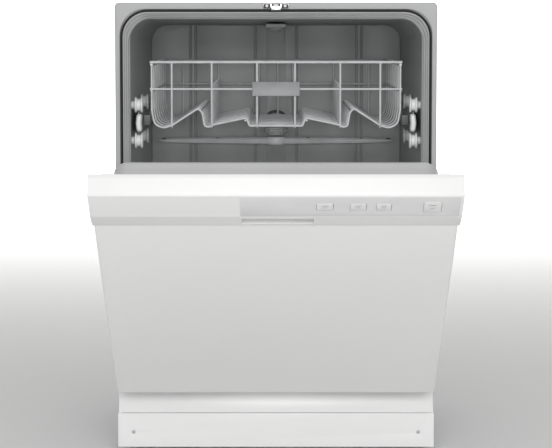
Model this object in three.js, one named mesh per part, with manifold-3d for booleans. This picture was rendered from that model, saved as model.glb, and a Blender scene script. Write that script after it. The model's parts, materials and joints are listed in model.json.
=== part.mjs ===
// A 24-inch built-in dishwasher with its door half open, in millimetres.
// +X is to the right of someone facing it, +Y runs back into the cabinet and +Z is up.
// Places are measured from the plane of the tub's front frame (y = 0) and from the floor (z = 0).
// At the end the assembly is moved so that its bounding box stands centred on the origin.
import * as THREE from "three";
import { mergeVertices } from "three/addons/utils/BufferGeometryUtils.js";
import Module from "manifold-3d";

const wasm = await Module();
wasm.setup();

// ---------- Driving dimensions ----------
// Whole machine
const frameWidth = 602; // outside width of the tub's front frame
const frameTop = 855; // top of the frame above the floor
const tubDepth = 572; // front frame to the inner face of the back wall
const touchGap = 0.3; // left between faces that touch
const runGap = 0.6; // left round pieces that turn or slide

// Tub
const wall = 4;
const floorWall = 5;
const flangeSide = 17; // frame border beside the opening
const flangeTop = 21; // frame border above the opening
const flangeThickness = 12;
const flangeBottom = 180;
const openingRadius = 46;
const cavityRadius = 40;
const stepHeight = 3.5; // each of the three steps behind the frame
const stepDepths = [8, 16, 25];
const sideDraft = 7.5; // how much each side wall comes in at the back
const ceilingDraft = 8.5;
const sillTop = 203;
const tubFloor = 186;
const trackTop = 204.5; // ledges that the lower rack's wheels roll on
const gasketWidth = 5;
const gasketInset = 12; // outer edge of the frame to the middle of the gasket
const gasketTopInset = 15; // the same at the top
const gasketBottom = 250;
const gasketLip = 7; // how far the gasket stands out of the frame
const gasketGrooveDepth = 8;

// Door, with "up" measured along the door from the hinge and "out" towards its front
const hingeY = -20;
const hingeHeight = 148;
const restTilt = 53.5; // degrees from upright in the stored pose
const panelOverhang = 1; // the panel is this much narrower than the frame on each side
const consoleOverhang = 2; // and the console this much wider
const panelFront = 16.5;
const panelBottom = -24;
const panelSheet = 1;
const panelReturn = 14;
const consoleHeight = 117;
const consoleFaceDrop = 9; // top surface falls this much towards the front
const consoleFaceHeight = 65;
const consoleFront = 26.5;
const consoleLowerFront = 17.5;
const consoleWall = 3;
const doorBack = -9.5;
const doorTopGap = 2; // below the top of the frame when closed
const linerFlange = 3;
const linerDepth = 43.5; // how far the liner's box stands behind its flange
const linerRadius = 26;
const linerDraft = 10;

// Handle pocket and controls on the console
const pocketCentre = 3;
const pocketWidth = 118;
const pocketHeight = 22;
const pocketUp = 10; // above the console's lower edge
const pocketDepth = 20;
const buttonThickness = 2.2;
const buttonProud = 0.4;
const buttonTravel = 0.8;
const buttonRows = [
  { name: "heat_button", centre: 79, width: 27, height: 21 },
  { name: "cycle_button", centre: 133, width: 26, height: 21 },
  { name: "rinse_button", centre: 174.5, width: 24, height: 21 },
  { name: "start_button", centre: 253, width: 29, height: 32 },
];
const buttonUp = 35; // middle of the buttons below the console's front top edge

// Wire racks
const wireRadius = 2.2;
const railRadius = 2.8;
const rackFront = 60;
const rackBackGap = 12;
const upperRackDrop = 81.5; // ceiling to the upper rack's top rail
const upperRackHeight = 121;
const secondRailDrop = 51;
const upperCrossWires = 8;
const lowerRackFloor = 252;
const lowerRackGap = 131; // lower rack's top rail to the upper spray arm
const lowerCrossWires = 6;

// Upper rack's runners and rollers
const rollerRadius = 15;
const rollerHub = 11;
const rollerWidth = 15;
const rollerGroove = 5;
const rollerSpacing = 67.5; // between the axles above and below the runner
const rollerFromRail = 81; // rack's top rail down to the upper axles
const rollerPlaces = [58, 240]; // along the tub
const axleRadius = 4;
const rollerWallGap = 3.5;
const runnerThickness = 3;
const runnerBodyHeight = 30;

// Spray arms
const upperArmSpan = 475;
const upperArmThickness = 16;
const armHubRise = 1; // the hub stands this much above and below the arm
const lowerArmSpan = 430;
const lowerArmThickness = 12;
const hubY = 310; // both arms turn about x = 0, y = hubY

// Lower rack's wheels
const wheelRadius = 18.7;
const wheelWidth = 9;
const wheelGap = 1.8; // to the tub's wheel tracks
const wheelPlaces = [112, 470];

// Base
const railThickness = 3;
const railInset = 5.5; // base rail's outer face inside the frame's edge
const kickSetback = 45;
const kickTop = 72;
const kickBottom = 6;
const kickSheet = 2;
const legRadius = 5;
const footRadius = 18;
const legInset = 31; // leg axis inside the frame's edge
const legPlaces = [95, 530];
const railFloor = 30;

// ---------- Derived places ----------
const halfFrame = frameWidth / 2;
const openingHalf = halfFrame - flangeSide;
const openingTop = frameTop - flangeTop;
const cavityHalf = openingHalf - 9.5; // inside of the side walls at the front
const ceiling = openingTop - 9.5;
const cavityHalfBack = cavityHalf - sideDraft;
const ceilingBack = ceiling - ceilingDraft;
const cavityFront = stepDepths[2];
const tubBack = tubDepth + wall;
const halfAt = (y) => cavityHalf - (sideDraft * (y - cavityFront)) / (tubDepth - cavityFront);
const doorTop = frameTop - doorTopGap - hingeHeight;
const consoleLow = doorTop - consoleHeight;
const rackBack = tubDepth - rackBackGap;
const upperRackTop = ceiling - upperRackDrop;
const upperRackFloor = upperRackTop - upperRackHeight;
const rollerOuter = halfAt(rollerPlaces[1]) - rollerWallGap;
const runnerX = rollerOuter - rollerWidth / 2;
const upperRackHalf = rollerOuter - 28;
const upperAxle = upperRackTop - rollerFromRail;
const lowerAxle = upperAxle - rollerSpacing;
const armTop = upperRackFloor - 33;
const armBottom = armTop - upperArmThickness;
const lowerRackTop = armBottom - lowerRackGap;
const lowerRackHalf = upperRackHalf - 12;
const railOuter = halfFrame - railInset;

// ---------- Shapes ----------
const polygon = (points) => new THREE.Shape(points.map(([x, y]) => new THREE.Vector2(x, y)));

// Rounded rectangle from (x0, y0) to (x1, y1); lowRadius is for the two lower corners.
function roundedRectangle(x0, y0, x1, y1, radius, lowRadius = radius) {
  const shape = new THREE.Shape();
  const quarter = Math.PI / 2;
  shape.moveTo(x0 + lowRadius, y0);
  shape.lineTo(x1 - lowRadius, y0);
  if (lowRadius > 0) shape.absarc(x1 - lowRadius, y0 + lowRadius, lowRadius, -quarter, 0, false);
  shape.lineTo(x1, y1 - radius);
  shape.absarc(x1 - radius, y1 - radius, radius, 0, quarter, false);
  shape.lineTo(x0 + radius, y1);
  shape.absarc(x0 + radius, y1 - radius, radius, quarter, 2 * quarter, false);
  shape.lineTo(x0, y0 + lowRadius);
  if (lowRadius > 0) shape.absarc(x0 + lowRadius, y0 + lowRadius, lowRadius, 2 * quarter, 3 * quarter, false);
  return shape;
}

function extrude(shape, length, arcSteps = 4) {
  return new THREE.ExtrudeGeometry(shape, { depth: length, bevelEnabled: false, curveSegments: arcSteps });
}

// A profile in (x, z) from y0 back to y1.
function alongY(shape, y0, y1, arcSteps) {
  return extrude(shape, y1 - y0, arcSteps).rotateX(Math.PI / 2).translate(0, y1, 0);
}

// A profile in (y, z) from x0 to x1.
function alongX(shape, x0, x1, arcSteps) {
  const sideways = new THREE.Matrix4().makeBasis(
    new THREE.Vector3(0, 1, 0),
    new THREE.Vector3(0, 0, 1),
    new THREE.Vector3(1, 0, 0),
  );
  return extrude(shape, x1 - x0, arcSteps).applyMatrix4(sideways).translate(x0, 0, 0);
}

// A profile in (x, y) from z0 up to z1.
function alongZ(shape, z0, z1, arcSteps) {
  return extrude(shape, z1 - z0, arcSteps).translate(0, 0, z0);
}

function box(x0, x1, y0, y1, z0, z1) {
  const block = new THREE.BoxGeometry(x1 - x0, y1 - y0, z1 - z0);
  return block.translate((x0 + x1) / 2, (y0 + y1) / 2, (z0 + z1) / 2);
}

// A round bar between two points.
function rod(from, to, radius, sides = 12) {
  const start = new THREE.Vector3(...from);
  const end = new THREE.Vector3(...to);
  const direction = end.clone().sub(start);
  const bar = new THREE.CylinderGeometry(radius, radius, direction.length(), sides);
  const turn = new THREE.Quaternion().setFromUnitVectors(
    new THREE.Vector3(0, 1, 0),
    direction.clone().normalize(),
  );
  const middle = start.add(end).multiplyScalar(0.5);
  return bar.applyQuaternion(turn).translate(middle.x, middle.y, middle.z);
}

// A turned piece about the vertical axis; the profile is (radius, height) pairs.
function turned(profile, sides = 20) {
  const points = profile.map(([radius, height]) => new THREE.Vector2(radius, height));
  return new THREE.LatheGeometry(points, sides).rotateX(Math.PI / 2);
}

// A route through points, exact at each of them.
class WireRoute extends THREE.Curve {
  constructor(points) {
    super();
    this.points = points.map((point) => new THREE.Vector3(...point));
  }

  getPoint(t) {
    const place = t * (this.points.length - 1);
    const index = Math.min(Math.floor(place + 1e-6), this.points.length - 2);
    return this.points[index].clone().lerp(this.points[index + 1], place - index);
  }

  getPointAt(u) {
    return this.getPoint(u);
  }

  getTangentAt(u, target = new THREE.Vector3()) {
    const last = this.points.length - 1;
    const index = Math.round(u * last);
    const before = this.points[Math.max(index - 1, 0)];
    const here = this.points[index];
    const after = this.points[Math.min(index + 1, last)];
    const incoming = here.clone().sub(before).normalize();
    const outgoing = after.clone().sub(here).normalize();
    return target.copy(incoming).add(outgoing).normalize();
  }
}

// A wire through points; four sides are enough for a thin wire.
function wire(points, radius = wireRadius, sides = 4) {
  const widen = 1 / Math.sqrt(Math.cos(Math.PI / sides)); // keeps about the round wire's section
  const corners = [];
  for (let side = 0; side < sides; side += 1) {
    const angle = (2 * Math.PI * (side + 0.5)) / sides;
    corners.push([radius * widen * Math.cos(angle), radius * widen * Math.sin(angle)]);
  }
  return new THREE.ExtrudeGeometry(polygon(corners), {
    steps: points.length - 1,
    bevelEnabled: false,
    extrudePath: new WireRoute(points),
  });
}

// ---------- Booleans ----------
function solid(shape) {
  if (!shape.isBufferGeometry) return shape;
  const bare = new THREE.BufferGeometry();
  bare.setAttribute("position", shape.getAttribute("position"));
  bare.setIndex(shape.index);
  const merged = mergeVertices(bare, 1e-3);
  const triangles = [];
  for (let i = 0; i < merged.index.count; i += 3) {
    const [a, b, c] = [merged.index.getX(i), merged.index.getX(i + 1), merged.index.getX(i + 2)];
    if (a !== b && b !== c && c !== a) triangles.push(a, b, c);
  }
  return new wasm.Manifold(
    new wasm.Mesh({
      numProp: 3,
      vertProperties: merged.getAttribute("position").array,
      triVerts: new Uint32Array(triangles),
    }),
  );
}

const join = (...shapes) => shapes.flat().map(solid).reduce((sum, next) => sum.add(next));
const cut = (base, ...tools) => solid(base).subtract(join(...tools));

function geometryOf(shape) {
  if (shape.isBufferGeometry) return shape;
  const mesh = shape.getMesh();
  const geometry = new THREE.BufferGeometry();
  geometry.setAttribute("position", new THREE.BufferAttribute(mesh.vertProperties, 3));
  geometry.setIndex(new THREE.BufferAttribute(mesh.triVerts, 1));
  geometry.computeVertexNormals();
  return geometry;
}

// ---------- Materials ----------
const looks = {
  whiteEnamel: { color: 0xf1f1f0, roughness: 0.3, metalness: 0 },
  whitePlastic: { color: 0xf0f0ee, roughness: 0.42, metalness: 0 },
  linerPlastic: { color: 0xc9cccc, roughness: 0.5, metalness: 0 },
  tubPlastic: { color: 0x6d7172, roughness: 0.45, metalness: 0 },
  darkPlastic: { color: 0x3a3d3f, roughness: 0.55, metalness: 0 },
  greyPlastic: { color: 0xa6aaab, roughness: 0.5, metalness: 0 },
  padGrey: { color: 0xe2e3e3, roughness: 0.5, metalness: 0 },
  rackCoating: { color: 0xc9cdce, roughness: 0.4, metalness: 0 },
  rubber: { color: 0x151617, roughness: 0.85, metalness: 0 },
  galvanised: { color: 0xa9adb0, roughness: 0.45, metalness: 0.9 },
  stainless: { color: 0xb8bbbd, roughness: 0.3, metalness: 1 },
  felt: { color: 0x8d8f8e, roughness: 0.95, metalness: 0 },
  copper: { color: 0x8a5a3c, roughness: 0.4, metalness: 0.9 },
};

const assembly = new THREE.Group();
const door = new THREE.Group();
door.position.set(0, hingeY, hingeHeight);
door.rotation.x = THREE.MathUtils.degToRad(restTilt);
assembly.add(door);

function piece(name, shape, look, parent = assembly) {
  const mesh = new THREE.Mesh(geometryOf(shape), new THREE.MeshStandardMaterial(looks[look]));
  mesh.name = name;
  parent.add(mesh);
  return mesh;
}

const sides = [
  { label: "left", sign: -1 },
  { label: "right", sign: 1 },
];

// A box given by its distance from the middle, made on the side that sign names.
function sideBox(sign, inner, outer, y0, y1, z0, z1) {
  return box(Math.min(sign * inner, sign * outer), Math.max(sign * inner, sign * outer), y0, y1, z0, z1);
}

// ---------- Tub ----------
// A rounded box whose back end is smaller than its front end.
function taperedBox(front, back, y0, y1, bottom, radius, lowRadius) {
  const shape = roundedRectangle(-front.half, bottom, front.half, front.top, radius, lowRadius);
  const geometry = alongY(shape, y0, y1, 5);
  const place = geometry.getAttribute("position");
  for (let i = 0; i < place.count; i += 1) {
    const share = (place.getY(i) - y0) / (y1 - y0);
    const half = front.half + (back.half - front.half) * share;
    const top = front.top + (back.top - front.top) * share;
    const height = (place.getZ(i) - bottom) / (front.top - bottom);
    place.setX(i, (place.getX(i) * half) / front.half);
    place.setZ(i, bottom + height * (top - bottom));
  }
  return geometry;
}

const sumpHole = 92;
const heaterHole = 5.6;
const heaterEnds = 22; // heater legs either side of the middle
const heaterFront = 112;

function makeTub() {
  const outline = roundedRectangle(-halfFrame, flangeBottom, halfFrame, frameTop, 8, 2);
  const flange = alongY(outline, 0, flangeThickness);
  const collarHalf = openingHalf + 1;
  const collar = alongY(
    roundedRectangle(-collarHalf, flangeBottom, collarHalf, openingTop + 4, openingRadius, 4),
    flangeThickness - 1,
    cavityFront + wall,
  );
  const shell = taperedBox(
    { half: cavityHalf + wall, top: ceiling + wall },
    { half: cavityHalfBack + wall, top: ceilingBack + wall },
    cavityFront,
    tubBack,
    tubFloor - floorWall,
    cavityRadius + wall,
    10,
  );
  const ribTop = ceilingBack - 60;
  const ribs = [-180, -60, 60, 180].map((x) => box(x - 4, x + 4, tubBack - 1, tubBack + 5, 200, ribTop));
  const cavity = taperedBox(
    { half: cavityHalf, top: ceiling },
    { half: cavityHalfBack, top: ceilingBack },
    cavityFront - 0.5,
    tubDepth,
    tubFloor,
    cavityRadius,
    8,
  );
  const steps = stepDepths.map((depth, index) => {
    const half = openingHalf - index * stepHeight;
    const top = openingTop - index * stepHeight;
    const from = index === 0 ? -1 : stepDepths[index - 1] - 0.5;
    return alongY(roundedRectangle(-half, sillTop, half, top, openingRadius, 6), from, depth, 6);
  });
  const behindSill = box(
    -cavityHalf + wall,
    cavityHalf - wall,
    cavityFront - 1,
    cavityFront + 20,
    tubFloor,
    sillTop + 40,
  );
  const notches = sides.map(({ sign }) =>
    sideBox(
      sign,
      openingHalf + 3,
      halfFrame + 1,
      -1,
      flangeThickness + 20,
      flangeBottom - 1,
      gasketBottom - 10,
    ),
  );
  const groove = alongY(gasketOutline(gasketWidth / 2, gasketBottom), -1, gasketGrooveDepth, 6);
  const drain = rod([0, hubY, tubFloor - 20], [0, hubY, tubFloor + 5], sumpHole, 32);
  const heaterHoles = [-1, 1].map((sign) =>
    rod(
      [sign * heaterEnds, heaterFront, tubFloor - 20],
      [sign * heaterEnds, heaterFront, tubFloor + 5],
      heaterHole,
      12,
    ),
  );
  const hollow = cut(
    join(flange, collar, shell, ribs),
    cavity,
    steps,
    behindSill,
    notches,
    groove,
    drain,
    heaterHoles,
  );
  const tracks = sides.map(({ sign }) => {
    const outer = cavityHalfBack + 1;
    return sideBox(sign, lowerRackHalf + 4, outer, cavityFront + 2, tubDepth + 1, tubFloor - 1, trackTop);
  });
  const axles = [];
  for (const { sign } of sides) {
    for (const y of rollerPlaces) {
      for (const z of [upperAxle, lowerAxle]) {
        const inWall = sign * (halfAt(y) + 2);
        axles.push(rod([sign * (rollerOuter - rollerWidth), y, z], [inWall, y, z], axleRadius, 8));
        axles.push(rod([sign * (rollerOuter + runGap), y, z], [inWall, y, z], axleRadius + 3, 8));
      }
    }
  }
  return join(hollow, tracks, axles);
}

// The gasket's outline in the frame: up one side, across the top and down the other.
function gasketOutline(halfWidth, bottom) {
  const middle = halfFrame - gasketInset;
  const outer = middle + halfWidth;
  const inner = middle - halfWidth;
  const top = frameTop - gasketTopInset;
  const radius = openingRadius + 4;
  const shape = new THREE.Shape();
  const quarter = Math.PI / 2;
  shape.moveTo(outer, bottom);
  shape.lineTo(outer, top + halfWidth - radius);
  shape.absarc(outer - radius, top + halfWidth - radius, radius, 0, quarter, false);
  shape.lineTo(-outer + radius, top + halfWidth);
  shape.absarc(-outer + radius, top + halfWidth - radius, radius, quarter, 2 * quarter, false);
  shape.lineTo(-outer, bottom);
  shape.lineTo(-inner, bottom);
  const bend = radius - 2 * halfWidth;
  shape.lineTo(-inner, top - halfWidth - bend);
  shape.absarc(-inner + bend, top - halfWidth - bend, bend, 2 * quarter, quarter, true);
  shape.lineTo(inner - bend, top - halfWidth);
  shape.absarc(inner - bend, top - halfWidth - bend, bend, quarter, 0, true);
  shape.lineTo(inner, bottom);
  return shape;
}

piece("tub", makeTub(), "tubPlastic");
piece(
  "tub_gasket",
  alongY(
    gasketOutline(gasketWidth / 2 - touchGap, gasketBottom + touchGap),
    -gasketLip,
    gasketGrooveDepth - touchGap,
    6,
  ),
  "rubber",
);

// A felt blanket over the tub's top and sides.
const blanketThickness = 7;
function makeBlanket() {
  const front = cavityFront + wall + 6;
  const back = tubBack - 10;
  const grow = (extra) => [
    { half: cavityHalf + wall + extra, top: ceiling + wall + extra },
    { half: cavityHalfBack + wall + extra, top: ceilingBack + wall + extra },
  ];
  const [outerFront, outerBack] = grow(blanketThickness + 0.8);
  const [innerFront, innerBack] = grow(0.8);
  const bottom = gasketBottom + 5;
  const outside = taperedBox(outerFront, outerBack, cavityFront, tubBack, bottom, cavityRadius + 12, 0);
  const inside = taperedBox(
    innerFront,
    innerBack,
    cavityFront - 1,
    tubBack + 1,
    bottom - 1,
    cavityRadius + wall,
    0,
  );
  const ends = [
    box(-400, 400, cavityFront - 50, front, 0, frameTop + 50),
    box(-400, 400, back, tubBack + 50, 0, frameTop + 50),
  ];
  return cut(outside, inside, ends);
}
piece("insulation_blanket", makeBlanket(), "felt");

// ---------- Latch strike on the frame ----------
const strikeBase = frameTop - 11.5;
const strikeReach = 22;
function makeStrike() {
  const plate = box(-24, 24, -2.3, -touchGap, strikeBase, frameTop - 2);
  const arm = box(-9, 9, -strikeReach, -2, strikeBase, strikeBase + 3);
  const tooth = box(-9, 9, -strikeReach, -strikeReach + 4, strikeBase - 3, strikeBase + 1);
  return join(plate, arm, tooth);
}
piece("latch_strike", makeStrike(), "stainless");

// ---------- Base rails, legs, kick plate and access panel ----------
const hingeTab = 9; // radius of the rail's ear round the hinge pin
const pinRadius = 5;
const springAnchor = [350, 200];
const springPin = 2.5;

function makeBaseRail(sign) {
  const inner = railOuter - railThickness;
  const kickBack = kickSetback + kickSheet + 5;
  const web = polygon([
    [hingeY, hingeHeight - 0.5],
    [kickBack, hingeHeight - 0.5],
    [kickBack, railFloor],
    [rackBack, railFloor],
    [rackBack, tubFloor - floorWall - touchGap],
    [kickBack, tubFloor - floorWall - touchGap],
    [0, hingeHeight + 22],
    [hingeY - 4, hingeHeight + hingeTab],
  ]);
  const ear = rod([sign * inner, hingeY, hingeHeight], [sign * railOuter, hingeY, hingeHeight], hingeTab, 16);
  const pinHole = rod(
    [sign * (inner - 5), hingeY, hingeHeight],
    [sign * (railOuter + 5), hingeY, hingeHeight],
    pinRadius + runGap,
    16,
  );
  const x0 = Math.min(sign * inner, sign * railOuter);
  const plate = alongX(web, x0, x0 + railThickness);
  const lip = (z0, z1) => sideBox(sign, inner - 34, inner + 1, kickBack + 8, rackBack, z0, z1);
  const bottomLip = lip(railFloor, railFloor + railThickness);
  const topLip = lip(tubFloor - floorWall - touchGap - railThickness, tubFloor - floorWall - touchGap);
  const [anchorY, anchorZ] = springAnchor;
  const lugFoot = tubFloor - floorWall - 5;
  const lug = sideBox(sign, inner, railOuter, anchorY - 6, anchorY + 6, lugFoot, anchorZ + 6);
  const pin = rod(
    [sign * (railOuter - 1), anchorY, anchorZ],
    [sign * (railOuter + 5), anchorY, anchorZ],
    springPin,
    10,
  );
  const legX = sign * (halfFrame - legInset);
  const legHoles = legPlaces.map((y) =>
    rod([legX, y, railFloor - 5], [legX, y, railFloor + 10], legRadius + runGap, 12),
  );
  return cut(join(plate, ear, bottomLip, topLip, lug, pin), pinHole, legHoles);
}

for (const { label, sign } of sides) {
  piece("base_rail_" + label, makeBaseRail(sign), "galvanised");
}

const collarHeight = 22; // bottom of the nut under the rail
const threadAbove = 34; // thread that stands up inside the rail
const legProfile = [
  [0, 0],
  [footRadius, 0],
  [footRadius, 5],
  [footRadius - 6, 9],
  [legRadius + 3, 10],
  [legRadius, 12],
  [legRadius, collarHeight],
  [legRadius + 6, collarHeight],
  [legRadius + 6, railFloor - touchGap],
  [legRadius, railFloor - touchGap],
  [legRadius, railFloor + threadAbove],
  [0, railFloor + threadAbove],
];
for (const { label, sign } of sides) {
  legPlaces.forEach((y, index) => {
    const name = "leveling_leg_" + ["front_", "rear_"][index] + label;
    const leg = piece(name, turned(legProfile, 12), "galvanised");
    leg.position.set(sign * (halfFrame - legInset), y, 0);
  });
}

const kickHalf = halfFrame + consoleOverhang;
const screwX = kickHalf - 30;
const screwZ = 35;
const screwRadius = 3.5;
const shankRadius = 1.7;
function makeToeKick() {
  const section = polygon([
    [kickSetback, kickBottom],
    [kickSetback + kickSheet, kickBottom],
    [kickSetback + kickSheet, kickTop - kickSheet],
    [kickSetback + 6, kickTop - kickSheet],
    [kickSetback + 6, kickTop],
    [kickSetback, kickTop],
  ]);
  const holes = sides.map(({ sign }) =>
    rod(
      [sign * screwX, kickSetback - 2, screwZ],
      [sign * screwX, kickSetback + 5, screwZ],
      shankRadius + 0.5,
      12,
    ),
  );
  return cut(alongX(section, -kickHalf, kickHalf), holes);
}
piece("toe_kick", makeToeKick(), "whiteEnamel");

function makeAccessPanel() {
  const low = kickTop + 1.5;
  const high = hingeHeight - 4;
  const rise = high - low;
  const front = [0, 0.25, 0.5, 0.75, 1].map((share) => [
    kickSetback - 5 + 9 * Math.sin((share * Math.PI) / 2),
    low + rise * share,
  ]);
  const back = front.map(([y, z]) => [y + kickSheet, z]).reverse();
  return alongX(polygon([...front.reverse(), ...back.reverse()]), -halfFrame, halfFrame);
}
piece("access_panel", makeAccessPanel(), "whiteEnamel");

for (const { label, sign } of sides) {
  const headFront = kickSetback - 2.4;
  const on = (y) => [sign * screwX, y, screwZ];
  const head = rod(on(headFront), on(kickSetback - touchGap), screwRadius);
  const shank = rod(on(kickSetback - 1), on(kickSetback + 5), shankRadius, 8);
  piece("toe_kick_screw_" + label, join(head, shank), "galvanised");
}

// ---------- Sump, wash pump, heater and feed tube ----------
const postTop = 203;
const bowlTop = 87;
const bowlBottom = 56;
const bowlFloor = 104;
const postRadius = 16;
// The sump bowl with the spray arm's post in its middle and the drain pump cast on its side.
function makeSump() {
  const bowl = turned([
    [0, bowlFloor - 4],
    [bowlBottom + 4, bowlFloor - 4],
    [bowlTop + 4, tubFloor - 16],
    [bowlTop + 4, tubFloor + touchGap],
    [sumpHole + 6, tubFloor + touchGap],
    [sumpHole + 6, tubFloor + 2.3],
    [bowlTop, tubFloor + 2.3],
    [bowlTop, tubFloor - 14],
    [bowlBottom, bowlFloor],
    [postRadius, bowlFloor],
    [postRadius, postTop],
    [0, postTop],
  ]);
  const level = bowlFloor + 18;
  const chamber = rod([bowlBottom + 8, 0, level], [bowlTop + 40, 0, level], 22, 20);
  const motor = rod([bowlTop + 38, 0, level], [bowlTop + 95, 0, level], 27, 20);
  const spigot = rod([bowlTop + 24, 10, level], [bowlTop + 24, 62, level - 14], 10, 12);
  const bowlRoom = rod([0, 0, bowlFloor - 3], [0, 0, tubFloor], bowlTop - 14, 24);
  return join(bowl, cut(join(chamber, motor, spigot), bowlRoom));
}
const sump = piece("sump", makeSump(), "darkPlastic");
sump.position.set(0, hubY, 0);

const filterScreen = piece(
  "filter_screen",
  turned([
    [postRadius + 2, tubFloor + 11],
    [40, tubFloor + 10],
    [bowlTop - 2, tubFloor - 2],
    [bowlTop - 2, tubFloor - 5],
    [40, tubFloor + 7],
    [postRadius + 2, tubFloor + 8],
    [postRadius + 2, tubFloor + 11],
  ].reverse()),
  "stainless",
);
filterScreen.position.set(0, hubY, 0);

const heaterLevel = tubFloor + 9;
const heaterHalf = 158;
const heaterBack = 480;
const heaterRadius = 4;
function makeHeater() {
  const loop = [
    [heaterEnds, heaterFront, tubFloor - 14],
    [heaterEnds, heaterFront, heaterLevel - 6],
    [heaterEnds + 10, heaterFront + 8, heaterLevel],
    [heaterHalf - 40, heaterFront + 14, heaterLevel],
    [heaterHalf - 10, heaterFront + 30, heaterLevel],
    [heaterHalf, heaterFront + 65, heaterLevel],
    [heaterHalf, heaterBack - 50, heaterLevel],
    [heaterHalf - 15, heaterBack - 15, heaterLevel],
    [heaterHalf - 50, heaterBack, heaterLevel],
  ];
  const mirrored = loop.map(([x, y, z]) => [-x, y, z]).reverse();
  return wire([...loop, ...mirrored], heaterRadius, 8);
}
piece("heating_element", makeHeater(), "copper");

// The wash pump lies on its side under the tub, left of the sump: a motor, a volute and an outlet.
const washPump = { level: 108, near: -96, far: -215, volute: 34, voluteRadius: 52, motorRadius: 45 };
const pumpOutlet = { x: -113, length: 80, radius: 14 };
function makeWashPump() {
  const { level, near, far, volute, voluteRadius, motorRadius } = washPump;
  return join(
    rod([far, hubY, level], [near - volute + 2, hubY, level], motorRadius, 24),
    rod([near - volute, hubY, level], [near, hubY, level], voluteRadius, 24),
    rod([pumpOutlet.x, hubY, level], [pumpOutlet.x, hubY + pumpOutlet.length, level], pumpOutlet.radius, 12),
  );
}
piece("wash_pump", makeWashPump(), "darkPlastic");

const feedHalf = 20;
const feedFront = rackBack + railRadius + 1.5;
const portLevel = upperRackFloor - 18;
function makeFeedTube() {
  const back = tubDepth - touchGap;
  const top = ceilingBack - touchGap;
  const run = polygon([
    [feedFront, tubFloor + 6],
    [back, tubFloor + 6],
    [back, top],
    [hubY - 18, top],
    [hubY - 18, top - 8],
    [feedFront, top - 8],
  ]);
  const port = box(-feedHalf - 16, feedHalf + 16, feedFront, back, portLevel - 18, portLevel + 18);
  const mouth = rod([0, feedFront - 3, portLevel], [0, feedFront + 6, portLevel], 9, 16);
  return cut(join(alongX(run, -feedHalf, feedHalf), port), mouth);
}
piece("spray_feed_tube", makeFeedTube(), "darkPlastic");

const nozzleTop = ceilingBack - touchGap - 8 - touchGap;
const topNozzle = piece(
  "top_spray_nozzle",
  turned([
    [0, nozzleTop - 9],
    [9, nozzleTop - 8],
    [16, nozzleTop - 4],
    [16, nozzleTop],
    [0, nozzleTop],
  ], 16),
  "greyPlastic",
);
topNozzle.position.set(0, hubY, 0);

// ---------- Door ----------
// In the door's group z runs up the door from the hinge and y is minus the distance outwards.
const doorBox = (x0, x1, up0, up1, out0, out1) => box(x0, x1, -out1, -out0, up0, up1);
const doorSection = (points) => polygon(points.map(([up, out]) => [-out, up]));
const panelHalf = halfFrame - panelOverhang;
const consoleHalf = halfFrame + consoleOverhang;

function makeDoorPanel() {
  const top = consoleLow - touchGap;
  const back = panelFront - panelReturn;
  const tray = alongY(
    roundedRectangle(-panelHalf, panelBottom, panelHalf, top, 1, 3),
    -panelFront,
    -back,
    2,
  );
  const inside = doorBox(
    -panelHalf + panelSheet,
    panelHalf - panelSheet,
    panelBottom + panelSheet,
    top - panelSheet,
    back - 1,
    panelFront - panelSheet,
  );
  return cut(tray, inside);
}
piece("door_panel", makeDoorPanel(), "whiteEnamel", door);

const linerBaseHalf = openingHalf - 12;
const linerBaseTop = openingTop - hingeHeight - 5;
const linerBottom = sillTop - hingeHeight + 2;
const linerBack = doorBack - linerFlange;
const linerFace = linerBack - linerDepth; // the inner face that the dishes see
const dispenserHalf = 95;
const dispenserHeight = 100;
const dispenserMiddle = (linerBaseTop + linerBottom) / 2 + 25;
const dispenserSink = 26;
function makeLiner() {
  const flangeHalf = halfFrame - 8;
  const upper = alongY(
    roundedRectangle(-flangeHalf, gasketBottom - hingeHeight, flangeHalf, doorTop - 5, 14, 2),
    -doorBack,
    -linerBack,
    3,
  );
  const lowerHalf = openingHalf + 2;
  const lower = doorBox(-lowerHalf, lowerHalf, -8, gasketBottom - hingeHeight + 1, linerBack, doorBack);
  const bulge = alongY(
    roundedRectangle(-linerBaseHalf, linerBottom, linerBaseHalf, linerBaseTop, linerRadius, 16),
    -linerBack - 0.5,
    -linerFace,
    5,
  );
  const place = bulge.getAttribute("position");
  const middle = (linerBaseTop + linerBottom) / 2;
  const share = 1 - linerDraft / linerBaseHalf;
  const upShare = 1 - (2 * linerDraft) / (linerBaseTop - linerBottom);
  for (let i = 0; i < place.count; i += 1) {
    if (place.getY(i) > -linerFace - 1) {
      place.setX(i, place.getX(i) * share);
      place.setZ(i, middle + (place.getZ(i) - middle) * upShare);
    }
  }
  const latchNotch = doorBox(-20, 20, linerBaseTop + 2, doorTop, linerBack - 1, doorBack + 1);
  const inside = doorBox(
    -linerBaseHalf + linerDraft + 6,
    linerBaseHalf - linerDraft - 6,
    linerBottom + linerDraft + 6,
    linerBaseTop - linerDraft - 6,
    linerFace + wall,
    doorBack + 1,
  );
  const dispenserRoom = doorBox(
    -dispenserHalf,
    dispenserHalf,
    dispenserMiddle - dispenserHeight / 2,
    dispenserMiddle + dispenserHeight / 2,
    linerFace - 1,
    linerFace + wall + 1,
  );
  return cut(join(upper, lower, bulge), latchNotch, inside, dispenserRoom);
}
piece("door_liner", makeLiner(), "linerPlastic", door);

const sealLow = flangeBottom - hingeHeight + 4;
piece(
  "door_bottom_seal",
  doorBox(-openingHalf, openingHalf, sealLow, sealLow + 8, hingeY + runGap, linerBack - touchGap),
  "rubber",
  door,
);

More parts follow.
